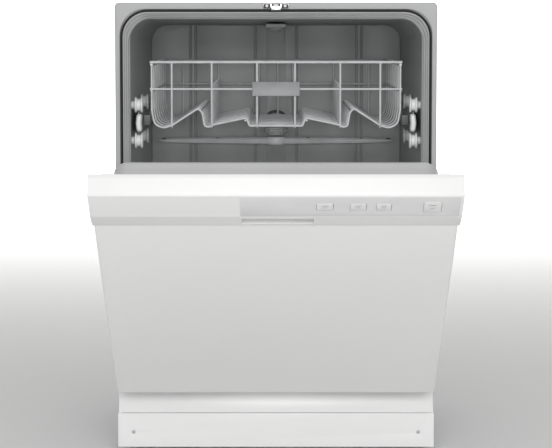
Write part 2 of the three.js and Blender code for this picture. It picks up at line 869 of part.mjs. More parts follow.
const faceTop = doorTop - consoleFaceDrop;
const faceLow = faceTop - consoleFaceHeight;
function makeConsole() {
  const section = doorSection([
    [consoleLow, doorBack + touchGap],
    [doorTop, doorBack + touchGap],
    [doorTop, doorBack + 2],
    [faceTop + 1.5, consoleFront - 3],
    [faceTop - 1.5, consoleFront],
    [faceLow, consoleFront],
    [consoleLow, consoleLowerFront],
  ]);
  const body = alongX(section, -consoleHalf, consoleHalf);
  const pocketRoof = consoleLow + pocketUp + pocketHeight + 14; // the fingers curl up behind the lip
  const pocket = doorBox(
    pocketCentre - pocketWidth / 2,
    pocketCentre + pocketWidth / 2,
    consoleLow + pocketUp,
    consoleLow + pocketUp + pocketHeight,
    consoleFront - pocketDepth,
    consoleFront + 5,
  );
  const fingerRoom = doorBox(
    pocketCentre - pocketWidth / 2,
    pocketCentre + pocketWidth / 2,
    consoleLow + pocketUp,
    pocketRoof,
    consoleFront - pocketDepth,
    consoleFront - 7,
  );
  const boltUp = strikeBase - hingeHeight;
  const latchRoom = doorBox(-14, 14, boltUp - 14, boltUp + 5, doorBack - 1, 8);
  // Hollowed from behind, either side of the finger pocket and above it.
  const hollowFront = consoleLowerFront - consoleWall;
  const pocketLeft = pocketCentre - pocketWidth / 2;
  const pocketRight = pocketCentre + pocketWidth / 2;
  const hollow = (x0, x1, up0) =>
    alongX(
      doorSection([
        [up0, doorBack - 1],
        [doorTop - consoleWall, doorBack - 1],
        [doorTop - consoleWall, doorBack + 2],
        [faceTop, hollowFront],
        [up0, hollowFront],
      ]),
      x0,
      x1,
    );
  const hollows = [
    hollow(-consoleHalf + consoleWall, pocketLeft - consoleWall, consoleLow + consoleWall),
    hollow(pocketRight + consoleWall, consoleHalf - consoleWall, consoleLow + consoleWall),
    hollow(pocketLeft - consoleWall - 1, pocketRight + consoleWall + 1, pocketRoof + consoleWall),
  ];
  const wells = buttonRows.map(({ centre, width, height }) =>
    doorBox(
      centre - width / 2 - runGap,
      centre + width / 2 + runGap,
      faceTop - buttonUp - height / 2 - runGap,
      faceTop - buttonUp + height / 2 + runGap,
      consoleFront + buttonProud - buttonThickness - buttonTravel - runGap,
      consoleFront + 5,
    ),
  );
  return cut(body, pocket, fingerRoom, latchRoom, wells, hollows);
}
piece("console", makeConsole(), "whitePlastic", door);

for (const { name, centre, width, height } of buttonRows) {
  const shape = roundedRectangle(
    centre - width / 2,
    faceTop - buttonUp - height / 2,
    centre + width / 2,
    faceTop - buttonUp + height / 2,
    2.5,
  );
  const front = -(consoleFront + buttonProud);
  piece(name, alongY(shape, front, front + buttonThickness, 2), "padGrey", door);
}

piece(
  "latch_bolt",
  doorBox(-9, 9, strikeBase - hingeHeight - 9.5, strikeBase - hingeHeight - 4, -6, 5),
  "darkPlastic",
  door,
);

// Hinge arms, with an ear that the balance spring hooks on.
const armThickness = 3;
const armOuter = railOuter - railThickness - 1;
const springEar = [60, -30];
function makeHingeArm(sign) {
  const [earUp, earOut] = springEar;
  const section = doorSection([
    [-8, -6],
    [-8, 8],
    [6, 12],
    [170, 12],
    [176, 4],
    [170, -8],
    [95, -8],
    [earUp + 6, earOut - 6],
    [earUp - 7, earOut - 6],
    [earUp - 10, earOut + 6],
    [20, -8],
  ]);
  const x0 = Math.min(sign * armOuter, sign * (armOuter - armThickness));
  const plate = alongX(section, x0, x0 + armThickness);
  const pin = (from, to, y, z, radius, sides) => rod([sign * from, y, z], [sign * to, y, z], radius, sides);
  const pivot = pin(armOuter - armThickness, railOuter + 1.5, 0, 0, pinRadius, 16);
  const hook = pin(armOuter - 1, railOuter + 5, -earOut, earUp, springPin, 10);
  return join(plate, pivot, hook);
}
for (const { label, sign } of sides) {
  piece("hinge_arm_" + label, makeHingeArm(sign), "galvanised", door);
}

// Balance springs, from each arm's ear back to the lug on the base rail.
const springRadius = 3.6;
const springX = railOuter + 1;
door.updateMatrixWorld(true);
for (const { label, sign } of sides) {
  const ear = door.localToWorld(new THREE.Vector3(0, -springEar[1], springEar[0]));
  const start = new THREE.Vector2(ear.y, ear.z);
  const end = new THREE.Vector2(...springAnchor);
  const along = end.clone().sub(start).normalize().multiplyScalar(springPin + 2);
  start.add(along);
  end.sub(along).sub(new THREE.Vector2(4, 0));
  piece(
    "door_spring_" + label,
    rod([sign * springX, start.x, start.y], [sign * springX, end.x, end.y], springRadius, 8),
    "galvanised",
  );
}

// Detergent dispenser with its lid and rinse-aid cap, set into the liner.
const dispenserFace = linerFace - 4;
const cupHalf = 44;
const cupMiddle = -38;
const cupHeight = 68;
const lidThickness = 3;
const capMiddle = 52;
const capRadius = 19;
function makeDispenser() {
  const low = dispenserMiddle - dispenserHeight / 2;
  const high = dispenserMiddle + dispenserHeight / 2;
  const rimHalf = dispenserHalf + 5;
  const rim = doorBox(-rimHalf, rimHalf, low - 5, high + 5, dispenserFace, linerFace - touchGap);
  const core = doorBox(
    -dispenserHalf + 1,
    dispenserHalf - 1,
    low + 1,
    high - 1,
    dispenserFace,
    linerFace + dispenserSink,
  );
  const cup = doorBox(
    cupMiddle - cupHalf,
    cupMiddle + cupHalf,
    dispenserMiddle - cupHeight / 2,
    dispenserMiddle + cupHeight / 2,
    dispenserFace - 1,
    linerFace + dispenserSink - 4,
  );
  return cut(join(rim, core), cup);
}
piece("detergent_dispenser", makeDispenser(), "greyPlastic", door);

const lidTop = dispenserMiddle + cupHeight / 2 + 6;
piece(
  "dispenser_lid",
  doorBox(
    cupMiddle - cupHalf - 5,
    cupMiddle + cupHalf + 5,
    dispenserMiddle - cupHeight / 2 - 6,
    lidTop,
    dispenserFace - runGap - lidThickness,
    dispenserFace - runGap,
  ),
  "linerPlastic",
  door,
);
const capBack = -(dispenserFace - runGap);
const capGrip = box(
  capMiddle - 3,
  capMiddle + 3,
  capBack + 3,
  capBack + 9,
  dispenserMiddle - capRadius + 4,
  dispenserMiddle + capRadius - 4,
);
piece(
  "rinse_aid_cap",
  join(
    rod([capMiddle, capBack, dispenserMiddle], [capMiddle, capBack + 4, dispenserMiddle], capRadius, 20),
    capGrip,
  ),
  "darkPlastic",
  door,
);

// ---------- Upper rack ----------
const evenly = (from, to, count) => {
  const step = (to - from) / (count - 1);
  return Array.from({ length: count }, (_, i) => from + step * i);
};
const mirrorX = (points) => [...points.map(([x, ...rest]) => [-x, ...rest]).reverse(), ...points];

// A rail that runs round the rack in a rectangle at one height.
function railLoop(half, front, back, level, radius) {
  const reach = radius * 0.9;
  const corner = 14;
  const ring = roundedRectangle(-half - reach, front - reach, half + reach, back + reach, corner);
  const inner = half - reach;
  ring.holes.push(roundedRectangle(-inner, front + reach, inner, back - reach, corner - 2 * reach));
  return alongZ(ring, level - reach, level + reach, 2);
}

// Floor of the upper rack: a low flat middle, then two sloping shelves on each side.
const innerPeak = 56;
const innerLow = 51;
const middleLow = 122;
const outerPeak = 143;
const outerLow = upperRackHalf - 42;
const innerPeakRise = 21;
const outerPeakRise = 34;
const sideBend = 25;
const uprightPlaces = [36, middleLow, outerLow];

function upperCrossWire(y) {
  const half = [
    [innerLow, y, upperRackFloor],
    [innerPeak, y, upperRackFloor + innerPeakRise],
    [middleLow, y, upperRackFloor],
    [outerPeak, y, upperRackFloor + outerPeakRise],
    [outerLow, y, upperRackFloor],
    [outerLow + 16, y, upperRackFloor - 3],
    [upperRackHalf - 7, y, upperRackFloor + 7],
    [upperRackHalf, y, upperRackFloor + sideBend],
    [upperRackHalf, y, upperRackTop],
  ];
  return wire(mirrorX(half));
}

function makeUpperRack() {
  const parts = evenly(rackFront, rackBack, upperCrossWires).map(upperCrossWire);
  parts.push(railLoop(upperRackHalf, rackFront, rackBack, upperRackTop, railRadius));
  parts.push(railLoop(upperRackHalf, rackFront, rackBack, upperRackTop - secondRailDrop, wireRadius));
  for (const { sign } of sides) {
    for (const x of uprightPlaces) {
      const low = upperRackFloor - wireRadius * 1.5;
      parts.push(
        wire([
          [sign * x, rackFront, upperRackTop],
          [sign * x, rackFront, low],
          [sign * x, rackBack, low],
          [sign * x, rackBack, upperRackTop],
        ]),
      );
    }
    for (const [x, rise] of [[innerPeak, innerPeakRise], [outerPeak, outerPeakRise]]) {
      const level = upperRackFloor + rise - wireRadius * 1.2;
      parts.push(wire([[sign * x, rackFront, level], [sign * x, rackBack, level]]));
    }
  }
  return join(parts);
}
piece("upper_rack", makeUpperRack(), "rackCoating");

piece(
  "rack_badge",
  box(
    -45,
    45,
    rackFront - wireRadius * 1.3 - touchGap - 3,
    rackFront - wireRadius * 1.3 - touchGap,
    upperRackTop - secondRailDrop - 13,
    upperRackTop - secondRailDrop + 14,
  ),
  "greyPlastic",
);

const hubRadius = 24;
function makeManifold() {
  const top = upperRackFloor - wireRadius * 3 - 1.5;
  const low = armTop + armHubRise + 2.5;
  const ring = rod([0, hubY, low], [0, hubY, top], hubRadius, 20);
  const duct = box(-15, 15, hubY, feedFront - 1.5, portLevel - 6, portLevel + 6);
  return join(ring, duct);
}
piece("rack_manifold", makeManifold(), "greyPlastic");

// A spray arm: a flat bar with round ends on a round hub.
function sprayArm(span, thickness, bottom, width, hub) {
  const bar = roundedRectangle(-span / 2, -width / 2, span / 2, width / 2, width / 2 - 1);
  const round = new THREE.Shape();
  round.absarc(0, 0, hub, 0, 2 * Math.PI, false);
  return join(
    alongZ(bar, bottom, bottom + thickness, 4),
    alongZ(round, bottom - armHubRise, bottom + thickness + armHubRise, 10),
  );
}
const upperArm = piece(
  "upper_spray_arm",
  sprayArm(upperArmSpan, upperArmThickness, armBottom, 34, hubRadius - 2),
  "greyPlastic",
);
upperArm.position.set(0, hubY, 0);

// ---------- Runners and rollers ----------
const rollerZ = { upper: upperAxle, lower: lowerAxle };
const runnerFront = rackFront - 8;
const runnerTop = upperAxle - rollerHub - runGap;
const runnerLow = lowerAxle + rollerHub + runGap;
const runnerMiddle = (runnerTop + runnerLow) / 2;
function makeRunner(sign) {
  const web = sideBox(
    sign,
    runnerX - runnerThickness / 2,
    runnerX + runnerThickness / 2,
    runnerFront,
    rackBack,
    runnerLow,
    runnerTop,
  );
  const body = sideBox(
    sign,
    runnerX - 5,
    runnerX + 5,
    runnerFront,
    rackBack,
    runnerMiddle - runnerBodyHeight / 2,
    runnerMiddle + runnerBodyHeight / 2,
  );
  const clips = [0.15, 0.5, 0.85].map((share) => {
    const y = rackFront + share * (rackBack - rackFront);
    const inner = upperRackHalf + wireRadius * 1.2 + touchGap;
    return sideBox(sign, inner, runnerX - 4, y - 8, y + 8, runnerMiddle - 8, runnerMiddle + 12);
  });
  return join(web, body, clips);
}

function makeRunnerCap(sign) {
  const half = runnerBodyHeight / 2 + 2;
  const flatten = 0.35; // the rounded square is pressed to this share of its depth
  const width = rollerWidth - 1;
  const face = roundedRectangle(-half, -half, half, half, 8);
  const plate = alongX(face, sign * runnerX - width / 2, sign * runnerX + width / 2, 3).scale(1, flatten, 1);
  return plate.translate(0, runnerFront - touchGap - half * flatten, runnerMiddle);
}

for (const { label, sign } of sides) {
  piece("rack_runner_" + label, makeRunner(sign), "greyPlastic");
  piece("runner_cap_" + label, makeRunnerCap(sign), "whitePlastic");
}

// A spool: a grooved wheel that turns on an axle along X.
function makeSpool(radius, width, hub, groove, bore) {
  const side = (width - groove) / 2;
  const disc = (from, to, discRadius) => rod([from, 0, 0], [to, 0, 0], discRadius, 14);
  const wheel = join(
    disc(-width / 2, -width / 2 + side, radius),
    disc(-width / 2, width / 2, hub),
    disc(width / 2 - side, width / 2, radius),
  );
  return cut(wheel, rod([-width, 0, 0], [width, 0, 0], bore, 10));
}

for (const { label, sign } of sides) {
  rollerPlaces.forEach((y, index) => {
    for (const level of ["upper", "lower"]) {
      const width = rollerWidth - runGap;
      const spool = makeSpool(rollerRadius, width, rollerHub, rollerGroove, axleRadius + runGap);
      const name = "tub_roller_" + ["front", "rear"][index] + "_" + level + "_" + label;
      const roller = piece(name, spool, "whitePlastic");
      roller.position.set(sign * runnerX, y, rollerZ[level]);
    }
  });
}

// ---------- Lower rack ----------
const wheelLevel = trackTop + wheelGap + wheelRadius;
const wheelX = lowerRackHalf + wireRadius * 1.3 + 2 + wheelWidth / 2;
const wheelPin = 3.5;
const tineHeight = 95;
const lowerLengthwise = [0, 0.27, 0.54, 0.8];
const tineRows = [150, 400];

function makeLowerRack() {
  const bend = 16;
  const half = lowerRackHalf;
  const parts = evenly(rackFront + bend, rackBack - bend, lowerCrossWires).map((y) =>
    wire([
      [-half, y, lowerRackTop],
      [-half, y, lowerRackFloor + bend],
      [-half + bend, y, lowerRackFloor],
      [half - bend, y, lowerRackFloor],
      [half, y, lowerRackFloor + bend],
      [half, y, lowerRackTop],
    ]),
  );
  const under = lowerRackFloor - wireRadius * 1.3;
  for (const share of lowerLengthwise) {
    for (const sign of share === 0 ? [1] : [-1, 1]) {
      const x = sign * share * half;
      parts.push(
        wire([
          [x, rackFront, lowerRackTop],
          [x, rackFront, under + bend],
          [x, rackFront + bend, under],
          [x, rackBack - bend, under],
          [x, rackBack, under + bend],
          [x, rackBack, lowerRackTop],
        ]),
      );
    }
  }
  const middleRail = (lowerRackFloor + lowerRackTop) / 2;
  parts.push(railLoop(half, rackFront, rackBack, lowerRackTop, railRadius));
  parts.push(railLoop(half, rackFront, rackBack, middleRail, wireRadius));
  for (const y of tineRows) {
    parts.push(wire([[-half, y, lowerRackFloor], [half, y, lowerRackFloor]]));
    for (const x of evenly(-half + 28, 60, 7)) {
      parts.push(wire([[x, y, lowerRackFloor - 1], [x, y + 8, lowerRackFloor + tineHeight]]));
    }
  }
  for (const { sign } of sides) {
    for (const y of wheelPlaces) {
      const pinEnd = wheelX + wheelWidth / 2 + 1;
      parts.push(rod([sign * (half - 1), y, wheelLevel], [sign * pinEnd, y, wheelLevel], wheelPin, 10));
      parts.push(sideBox(sign, half - 1.5, half + 1.8, y - 3, y + 3, wheelLevel - 3, middleRail));
    }
  }
  return join(parts);
}
piece("lower_rack", makeLowerRack(), "rackCoating");

for (const { label, sign } of sides) {
  wheelPlaces.forEach((y, index) => {
    const spool = makeSpool(wheelRadius, wheelWidth, wheelRadius - 3, wheelWidth / 3, wheelPin + runGap);
    const wheel = piece("rack_wheel_" + ["front_", "rear_"][index] + label, spool, "whitePlastic");
    wheel.position.set(sign * wheelX, y, wheelLevel);
  });
}

// Cutlery basket: three open compartments under a carrying handle.
const basket = {
  left: lowerRackHalf - 126,
  right: lowerRackHalf - 22,
  front: 85,
  back: 300,
  height: 118,
  sheet: 2.5,
};
const basketBottom = lowerRackFloor + wireRadius * 1.3 + touchGap;
const basketRooms = 3;
function makeBasket() {
  const { left, right, front, back, height, sheet } = basket;
  const top = basketBottom + height;
  const outside = box(left, right, front, back, basketBottom, top);
  const roomLength = (back - front - sheet) / basketRooms;
  const rooms = [];
  for (let room = 0; room < basketRooms; room += 1) {
    const start = front + sheet + room * roomLength;
    const end = start + roomLength - sheet;
    rooms.push(box(left + sheet, right - sheet, start, end, basketBottom + sheet, top + 1));
  }
  const middle = (left + right) / 2;
  const handle = join(
    box(middle - 6, middle + 6, front + roomLength, front + roomLength + sheet, top - 20, top + 40),
    box(middle - 6, middle + 6, back - roomLength - sheet, back - roomLength, top - 20, top + 40),
    box(middle - 6, middle + 6, front + roomLength, back - roomLength, top + 34, top + 40),
  );
  return join(cut(outside, rooms), handle);
}
piece("cutlery_basket", makeBasket(), "greyPlastic");

const lowerArmBottom = postTop + 1 + armHubRise;
const lowerArm = piece(
  "lower_spray_arm",
  sprayArm(lowerArmSpan, lowerArmThickness, lowerArmBottom, 40, hubRadius),
  "greyPlastic",
);
lowerArm.position.set(0, hubY, 0);

const floatPlace = [192, 118];
const floatDome = piece(
  "float_dome",
  turned([
    [0, tubFloor + 1],
    [20, tubFloor + 1],
    [20, tubFloor + 20],
    [14, tubFloor + 28],
    [0, tubFloor + 31],
  ], 16),
  "whitePlastic",
);
floatDome.position.set(floatPlace[0], floatPlace[1], 0);

// ---------- Origin ----------
const extent = new THREE.Box3().setFromObject(assembly, true);
const centre = extent.getCenter(new THREE.Vector3());
assembly.position.set(-centre.x, -centre.y, -extent.min.z);

export default assembly;
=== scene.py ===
import json
import math
import bmesh
import bpy
from mathutils import Matrix, Vector, noise

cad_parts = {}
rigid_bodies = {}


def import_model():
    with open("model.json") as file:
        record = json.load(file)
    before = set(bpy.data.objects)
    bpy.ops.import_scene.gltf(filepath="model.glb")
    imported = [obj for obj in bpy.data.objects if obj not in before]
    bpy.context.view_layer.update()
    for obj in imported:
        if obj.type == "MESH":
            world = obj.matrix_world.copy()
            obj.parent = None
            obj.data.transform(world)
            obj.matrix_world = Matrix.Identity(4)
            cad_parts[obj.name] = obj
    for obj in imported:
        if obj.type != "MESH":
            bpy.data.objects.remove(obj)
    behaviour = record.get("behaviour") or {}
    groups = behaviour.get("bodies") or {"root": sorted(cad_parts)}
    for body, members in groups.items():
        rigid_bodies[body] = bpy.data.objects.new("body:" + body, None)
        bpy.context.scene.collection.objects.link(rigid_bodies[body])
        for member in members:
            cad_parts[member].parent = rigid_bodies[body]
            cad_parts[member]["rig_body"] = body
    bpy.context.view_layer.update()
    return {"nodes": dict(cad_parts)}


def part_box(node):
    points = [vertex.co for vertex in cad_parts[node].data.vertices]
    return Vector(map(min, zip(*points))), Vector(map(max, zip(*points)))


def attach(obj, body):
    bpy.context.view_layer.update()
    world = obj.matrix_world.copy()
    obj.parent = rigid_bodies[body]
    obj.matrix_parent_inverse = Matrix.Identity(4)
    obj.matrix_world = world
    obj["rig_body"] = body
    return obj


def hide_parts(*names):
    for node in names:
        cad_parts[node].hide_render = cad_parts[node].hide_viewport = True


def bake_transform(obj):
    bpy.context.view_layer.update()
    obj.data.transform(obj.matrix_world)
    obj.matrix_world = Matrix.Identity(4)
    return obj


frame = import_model()

# ---------- Studio ----------
# A pale paper sweep curves up far behind the machine. Four soft boxes light the machine and a fifth
# the sweep, and a long-lens camera stands four metres in front of the door, looking slightly down.
EYE = (0.0, -4.0132, 0.811)
LOOK_DOWN = 5.27
LENS = 139.9
SWEEP_BEND = (7.0, 2.5)  # where the paper starts to rise, and the radius of its bend
SWEEP_NEAR, SWEEP_TOP, SWEEP_HALF = -12.0, 8.0, 14.0  # its front edge, its height and half its width
PAPER = (0.82, 0.82, 0.815)


def finish(name, light, dark, roughness, mottle=30.0, grain=900.0, relief=0.05, metallic=0.0):
    """A material whose colour clouds between two shades, with a fine grain in its surface."""
    material = bpy.data.materials.new(name)
    material.use_nodes = True
    nodes, links = material.node_tree.nodes, material.node_tree.links
    shader = nodes["Principled BSDF"]
    shader.inputs["Metallic"].default_value = metallic
    place = nodes.new("ShaderNodeTexCoord")
    cloud = nodes.new("ShaderNodeTexNoise")
    cloud.inputs["Scale"].default_value = mottle
    cloud.inputs["Detail"].default_value = 5.0
    shades = nodes.new("ShaderNodeValToRGB")
    shades.color_ramp.elements[0].position = 0.3
    shades.color_ramp.elements[0].color = (*dark, 1.0)
    shades.color_ramp.elements[1].position = 0.7
    shades.color_ramp.elements[1].color = (*light, 1.0)
    shine = nodes.new("ShaderNodeMapRange")
    shine.inputs["To Min"].default_value = roughness - 0.06
    shine.inputs["To Max"].default_value = roughness + 0.06
    fine = nodes.new("ShaderNodeTexNoise")
    fine.inputs["Scale"].default_value = grain
    fine.inputs["Detail"].default_value = 2.0
    bump = nodes.new("ShaderNodeBump")
    bump.inputs["Strength"].default_value = relief
    bump.inputs["Distance"].default_value = 0.001
    links.new(place.outputs["Object"], cloud.inputs["Vector"])
    links.new(place.outputs["Object"], fine.inputs["Vector"])
    links.new(cloud.outputs["Fac"], shades.inputs["Fac"])
    links.new(shades.outputs["Color"], shader.inputs["Base Color"])
    links.new(cloud.outputs["Fac"], shine.inputs["Value"])
    links.new(shine.outputs["Result"], shader.inputs["Roughness"])
    links.new(fine.outputs["Fac"], bump.inputs["Height"])
    links.new(bump.outputs["Normal"], shader.inputs["Normal"])
    return material


def shown(name, bm, material, smooth=35.0):
    """Turns a bmesh into an object, rounded to the eye wherever faces meet at less than smooth degrees."""
    mesh = bpy.data.meshes.new(name)
    bmesh.ops.recalc_face_normals(bm, faces=bm.faces)
    bm.to_mesh(mesh)
    bm.free()
    mesh.shade_smooth()
    mesh.set_sharp_from_angle(angle=math.radians(smooth))
    mesh.materials.append(material)
    obj = bpy.data.objects.new(name, mesh)
    bpy.context.scene.collection.objects.link(obj)
    return obj


def paper_sweep():
    bm = bmesh.new()
    start, bend = SWEEP_BEND
    line = [(SWEEP_NEAR, 0.0), (0.0, 0.0), (start, 0.0)]
    steps = 12
    for step in range(1, steps + 1):
        turn = math.radians(90 * step / steps)
        line.append((start + bend * math.sin(turn), bend - bend * math.cos(turn)))
    line.append((start + bend, SWEEP_TOP))
    edges = [[bm.verts.new((x, y, z)) for y, z in line] for x in (-SWEEP_HALF, SWEEP_HALF)]
    for i in range(len(line) - 1):
        bm.faces.new((edges[0][i], edges[1][i], edges[1][i + 1], edges[0][i + 1]))
    return shown("paper_sweep", bm, finish("paper", PAPER, PAPER, 0.9, grain=60, relief=0.01), smooth=60)


paper_sweep()

camera_data = bpy.data.cameras.new("camera")
camera_data.lens = LENS
camera_data.clip_end = 50.0
camera = bpy.data.objects.new("camera", camera_data)
camera.location = EYE
camera.rotation_euler = (math.radians(90.0 - LOOK_DOWN), 0.0, 0.0)
bpy.context.scene.collection.objects.link(camera)
bpy.context.scene.camera = camera


def soft_box(name, place, target, size, watts):
    lamp = bpy.data.lights.new(name, "AREA")
    lamp.shape = "RECTANGLE"
    lamp.size, lamp.size_y = size
    lamp.energy = watts
    obj = bpy.data.objects.new(name, lamp)
    obj.location = place
    obj.rotation_euler = (Vector(target) - Vector(place)).to_track_quat("-Z", "Y").to_euler()
    bpy.context.scene.collection.objects.link(obj)


soft_box("key_light", (-0.9, -4.6, 1.9), (0, 0.3, 0.6), (1.8, 1.2), 42)
soft_box("fill_light", (1.1, -4.6, 1.8), (0, 0.3, 0.6), (1.8, 1.2), 50)
soft_box("tub_light", (0.0, -3.6, 0.78), (0, 0.5, 0.72), (1.2, 0.2), 16)
soft_box("top_light", (0.0, -0.1, 3.2), (0, 0.1, 0.5), (2.6, 2.0), 8)
soft_box("backdrop_light", (0.0, 5.6, 5.0), (0, 9.5, 1.4), (9.0, 1.2), 700)

world = bpy.data.worlds.new("studio_air")
world.use_nodes = True
world.node_tree.nodes["Background"].inputs["Color"].default_value = (1.0, 1.0, 1.0, 1.0)
world.node_tree.nodes["Background"].inputs["Strength"].default_value = 0.4
bpy.context.scene.world = world
bpy.context.scene.view_settings.view_transform = "Standard"

# ---------- Base rails ----------
# Two galvanised steel rails fold round the foot of the machine. Each carries the ear for the door's
# hinge pin at its front end and the lug for a balance spring half-way back.
mm = 0.001
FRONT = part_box("tub")[0].y  # plane of the tub's front frame; sizes are in mm from it and from the floor
zinc = finish("zinc_sheet", (0.62, 0.64, 0.66), (0.44, 0.46, 0.48), 0.42, mottle=55, grain=300, relief=0.03,
              metallic=0.85)


def at(x, y, z):
    return Vector((x * mm, FRONT + y * mm, z * mm))


def softened(node, material, width=0.8, segments=2, angle=32.0, smooth=38.0):
    """The CAD node's own shape with its sharp edges rounded off by width, in its place and on its body."""
    bm = bmesh.new()
    bm.from_mesh(frame["nodes"][node].data)
    bmesh.ops.remove_doubles(bm, verts=bm.verts, dist=2e-6)
    bmesh.ops.dissolve_limit(bm, angle_limit=math.radians(0.6), verts=bm.verts, edges=bm.edges)
    obj = shown(node + "_shape", bm, material, smooth)
    bevel = obj.modifiers.new("bevel", "BEVEL")
    bevel.width = width * mm
    bevel.segments = segments
    bevel.limit_method = "ANGLE"
    bevel.angle_limit = math.radians(angle)
    bevel.harden_normals = False
    applied(obj, smooth)
    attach(obj, frame["nodes"][node]["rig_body"])
    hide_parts(node)
    return obj


def applied(obj, smooth=35.0):
    """Bakes an object's modifiers into its mesh."""
    bpy.context.view_layer.update()
    shaped = obj.evaluated_get(bpy.context.evaluated_depsgraph_get())
    mesh = bpy.data.meshes.new_from_object(shaped)
    obj.modifiers.clear()
    obj.data = mesh
    mesh.shade_smooth()
    mesh.set_sharp_from_angle(angle=math.radians(smooth))


for side in ("left", "right"):
    softened("base_rail_" + side, zinc, width=0.5)

# ---------- Levelling legs ----------
# Four threaded steel legs with wide round feet screw up into the rails. Their thread shows between
# the foot and the rail.
LEG_RADIUS = 5.0
THREAD_PITCH = 1.75
LEG_TOP = 64.0


def turned(bm, profile, place, axis="Z", sides=32):
    """A closed turned shape in bm. The profile is (radius, distance along the axis) pairs, in mm."""
    turns = {"Z": Matrix.Identity(3), "X": Matrix(((0, 0, 1), (1, 0, 0), (0, 1, 0))),
             "Y": Matrix(((1, 0, 0), (0, 0, 1), (0, -1, 0)))}
    rings = []
    for radius, along in profile:
        if radius < 1e-6:
            rings.append([bm.verts.new(place + turns[axis] @ Vector((0, 0, along * mm)))])
            continue
        rings.append([
            bm.verts.new(place + turns[axis] @ Vector((
                radius * mm * math.cos(2 * math.pi * i / sides),
                radius * mm * math.sin(2 * math.pi * i / sides), along * mm)))
            for i in range(sides)])
    for low, high in zip(rings, rings[1:]):
        for i in range(sides):
            j = (i + 1) % sides
            if len(low) == 1 and len(high) > 1:
                bm.faces.new((low[0], high[j], high[i]))
            elif len(high) == 1 and len(low) > 1:
                bm.faces.new((low[i], low[j], high[0]))
            elif len(low) > 1:
                bm.faces.new((low[i], low[j], high[j], high[i]))


def placed(name, bm, material, slot, body, *nodes, smooth=35.0):
    """A finished piece: its mesh, its material slot (not used), the body it rides on and the nodes it stands
    for.
    """
    obj = shown(name, bm, material, smooth)
    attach(obj, body)
    if nodes:
        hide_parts(*nodes)
    return obj


leg_profile = [(0, 0), (17, 0), (18, 1), (18, 4.4), (17.2, 5.2), (12, 9), (8.6, 9.8), (8.2, 12),
               (LEG_RADIUS, 12.4)]
height = 12.9
while height < LEG_TOP - THREAD_PITCH:
    leg_profile += [(LEG_RADIUS, height), (LEG_RADIUS - 0.9, height + THREAD_PITCH / 2)]
    height += THREAD_PITCH
leg_profile += [(LEG_RADIUS, height), (LEG_RADIUS - 1.2, LEG_TOP), (0, LEG_TOP)]
for node in [n for n in frame["nodes"] if n.startswith("leveling_leg_")]:
    low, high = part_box(node)
    bm = bmesh.new()
    turned(bm, leg_profile, Vector(((low.x + high.x) / 2, (low.y + high.y) / 2, 0.0)), sides=24)
    placed(node + "_thread", bm, zinc, "galvanised_steel", "cabinet", node)

# ---------- Toe kick and access panel ----------
# A folded sheet-steel kick plate in white enamel closes the foot, held by a screw near each end.
# A curved panel above it, set back under the door, hides the pump.
enamel = finish("white_enamel", (0.86, 0.86, 0.857), (0.845, 0.845, 0.842), 0.3, mottle=2.5, grain=420,
                relief=0.01)
softened("toe_kick", enamel, width=0.9, segments=3)
softened("access_panel", enamel, width=0.6)

SCREW_HEAD = [(0, -2.4), (1.4, -2.35), (2.6, -1.9), (3.3, -1.1), (3.5, -0.2), (3.5, 0), (1.7, 0), (1.7, 5),
              (0, 5)]


def block(bm, low, high):
    """A plain block between two opposite corners."""
    return bmesh.ops.create_cube(bm, size=1.0, matrix=Matrix.Translation((low + high) / 2)
                                 @ Matrix.Diagonal((*(high - low), 1.0)))


def cross_recess(bm, centre, reach=1.9, width=0.5, depth=1.3):
    """A mesh of two crossed bars to cut out of a screw's head, opening towards the front."""
    for wide, tall in ((reach, width), (width, reach)):
        half = Vector((wide, depth, tall)) * mm
        block(bm, centre - half, centre + half)


def carved(obj, tool_bm, smooth=35.0, solver="EXACT"):
    """Cuts a tool mesh out of an object, then drops the tool."""
    tool = shown("tool", tool_bm, obj.data.materials[0])
    boolean = obj.modifiers.new("cut", "BOOLEAN")
    boolean.operation = "DIFFERENCE"
    boolean.solver = solver
    boolean.object = tool
    boolean.use_self = True
    applied(obj, smooth)
    bpy.data.objects.remove(tool)


for side in ("left", "right"):
    node = "toe_kick_screw_" + side
    low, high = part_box(node)
    centre = Vector(((low.x + high.x) / 2, FRONT + 45 * mm, (low.z + high.z) / 2))
    bm = bmesh.new()
    turned(bm, SCREW_HEAD, centre, axis="Y", sides=24)
    screw = placed(node + "_head", bm, zinc, "galvanised_steel", "cabinet", node)
    tool = bmesh.new()
    cross_recess(tool, centre + Vector((0, -2.6 * mm, 0)))
    carved(screw, tool)

# ---------- Sump, filter, wash pump and heater ----------
# Under the tub hang a moulded black sump and the motors. A fine stainless screen covers the sump,
# and the heating rod runs round the tub's floor with its ends going down through it.
black_plastic = finish("black_plastic", (0.035, 0.036, 0.038), (0.022, 0.023, 0.025), 0.5, mottle=40,
                       grain=700, relief=0.08)
screen_steel = finish("screen_steel", (0.52, 0.53, 0.54), (0.3, 0.31, 0.32), 0.38, mottle=300, grain=2200,
                      relief=0.5, metallic=1.0)
heater_steel = finish("heater_steel", (0.34, 0.24, 0.18), (0.2, 0.15, 0.12), 0.4, mottle=60, grain=600,
                      relief=0.05, metallic=0.9)
softened("sump", black_plastic, width=0.8)
softened("wash_pump", black_plastic, width=1.6)

FLOOR = 186.0  # the tub's floor
SCREEN = [(18, 197), (30, 196.8), (40, 196), (62, 191), (84, 184.4), (85, 184), (85, 181), (40, 193),
          (18, 194), (18, 197)]


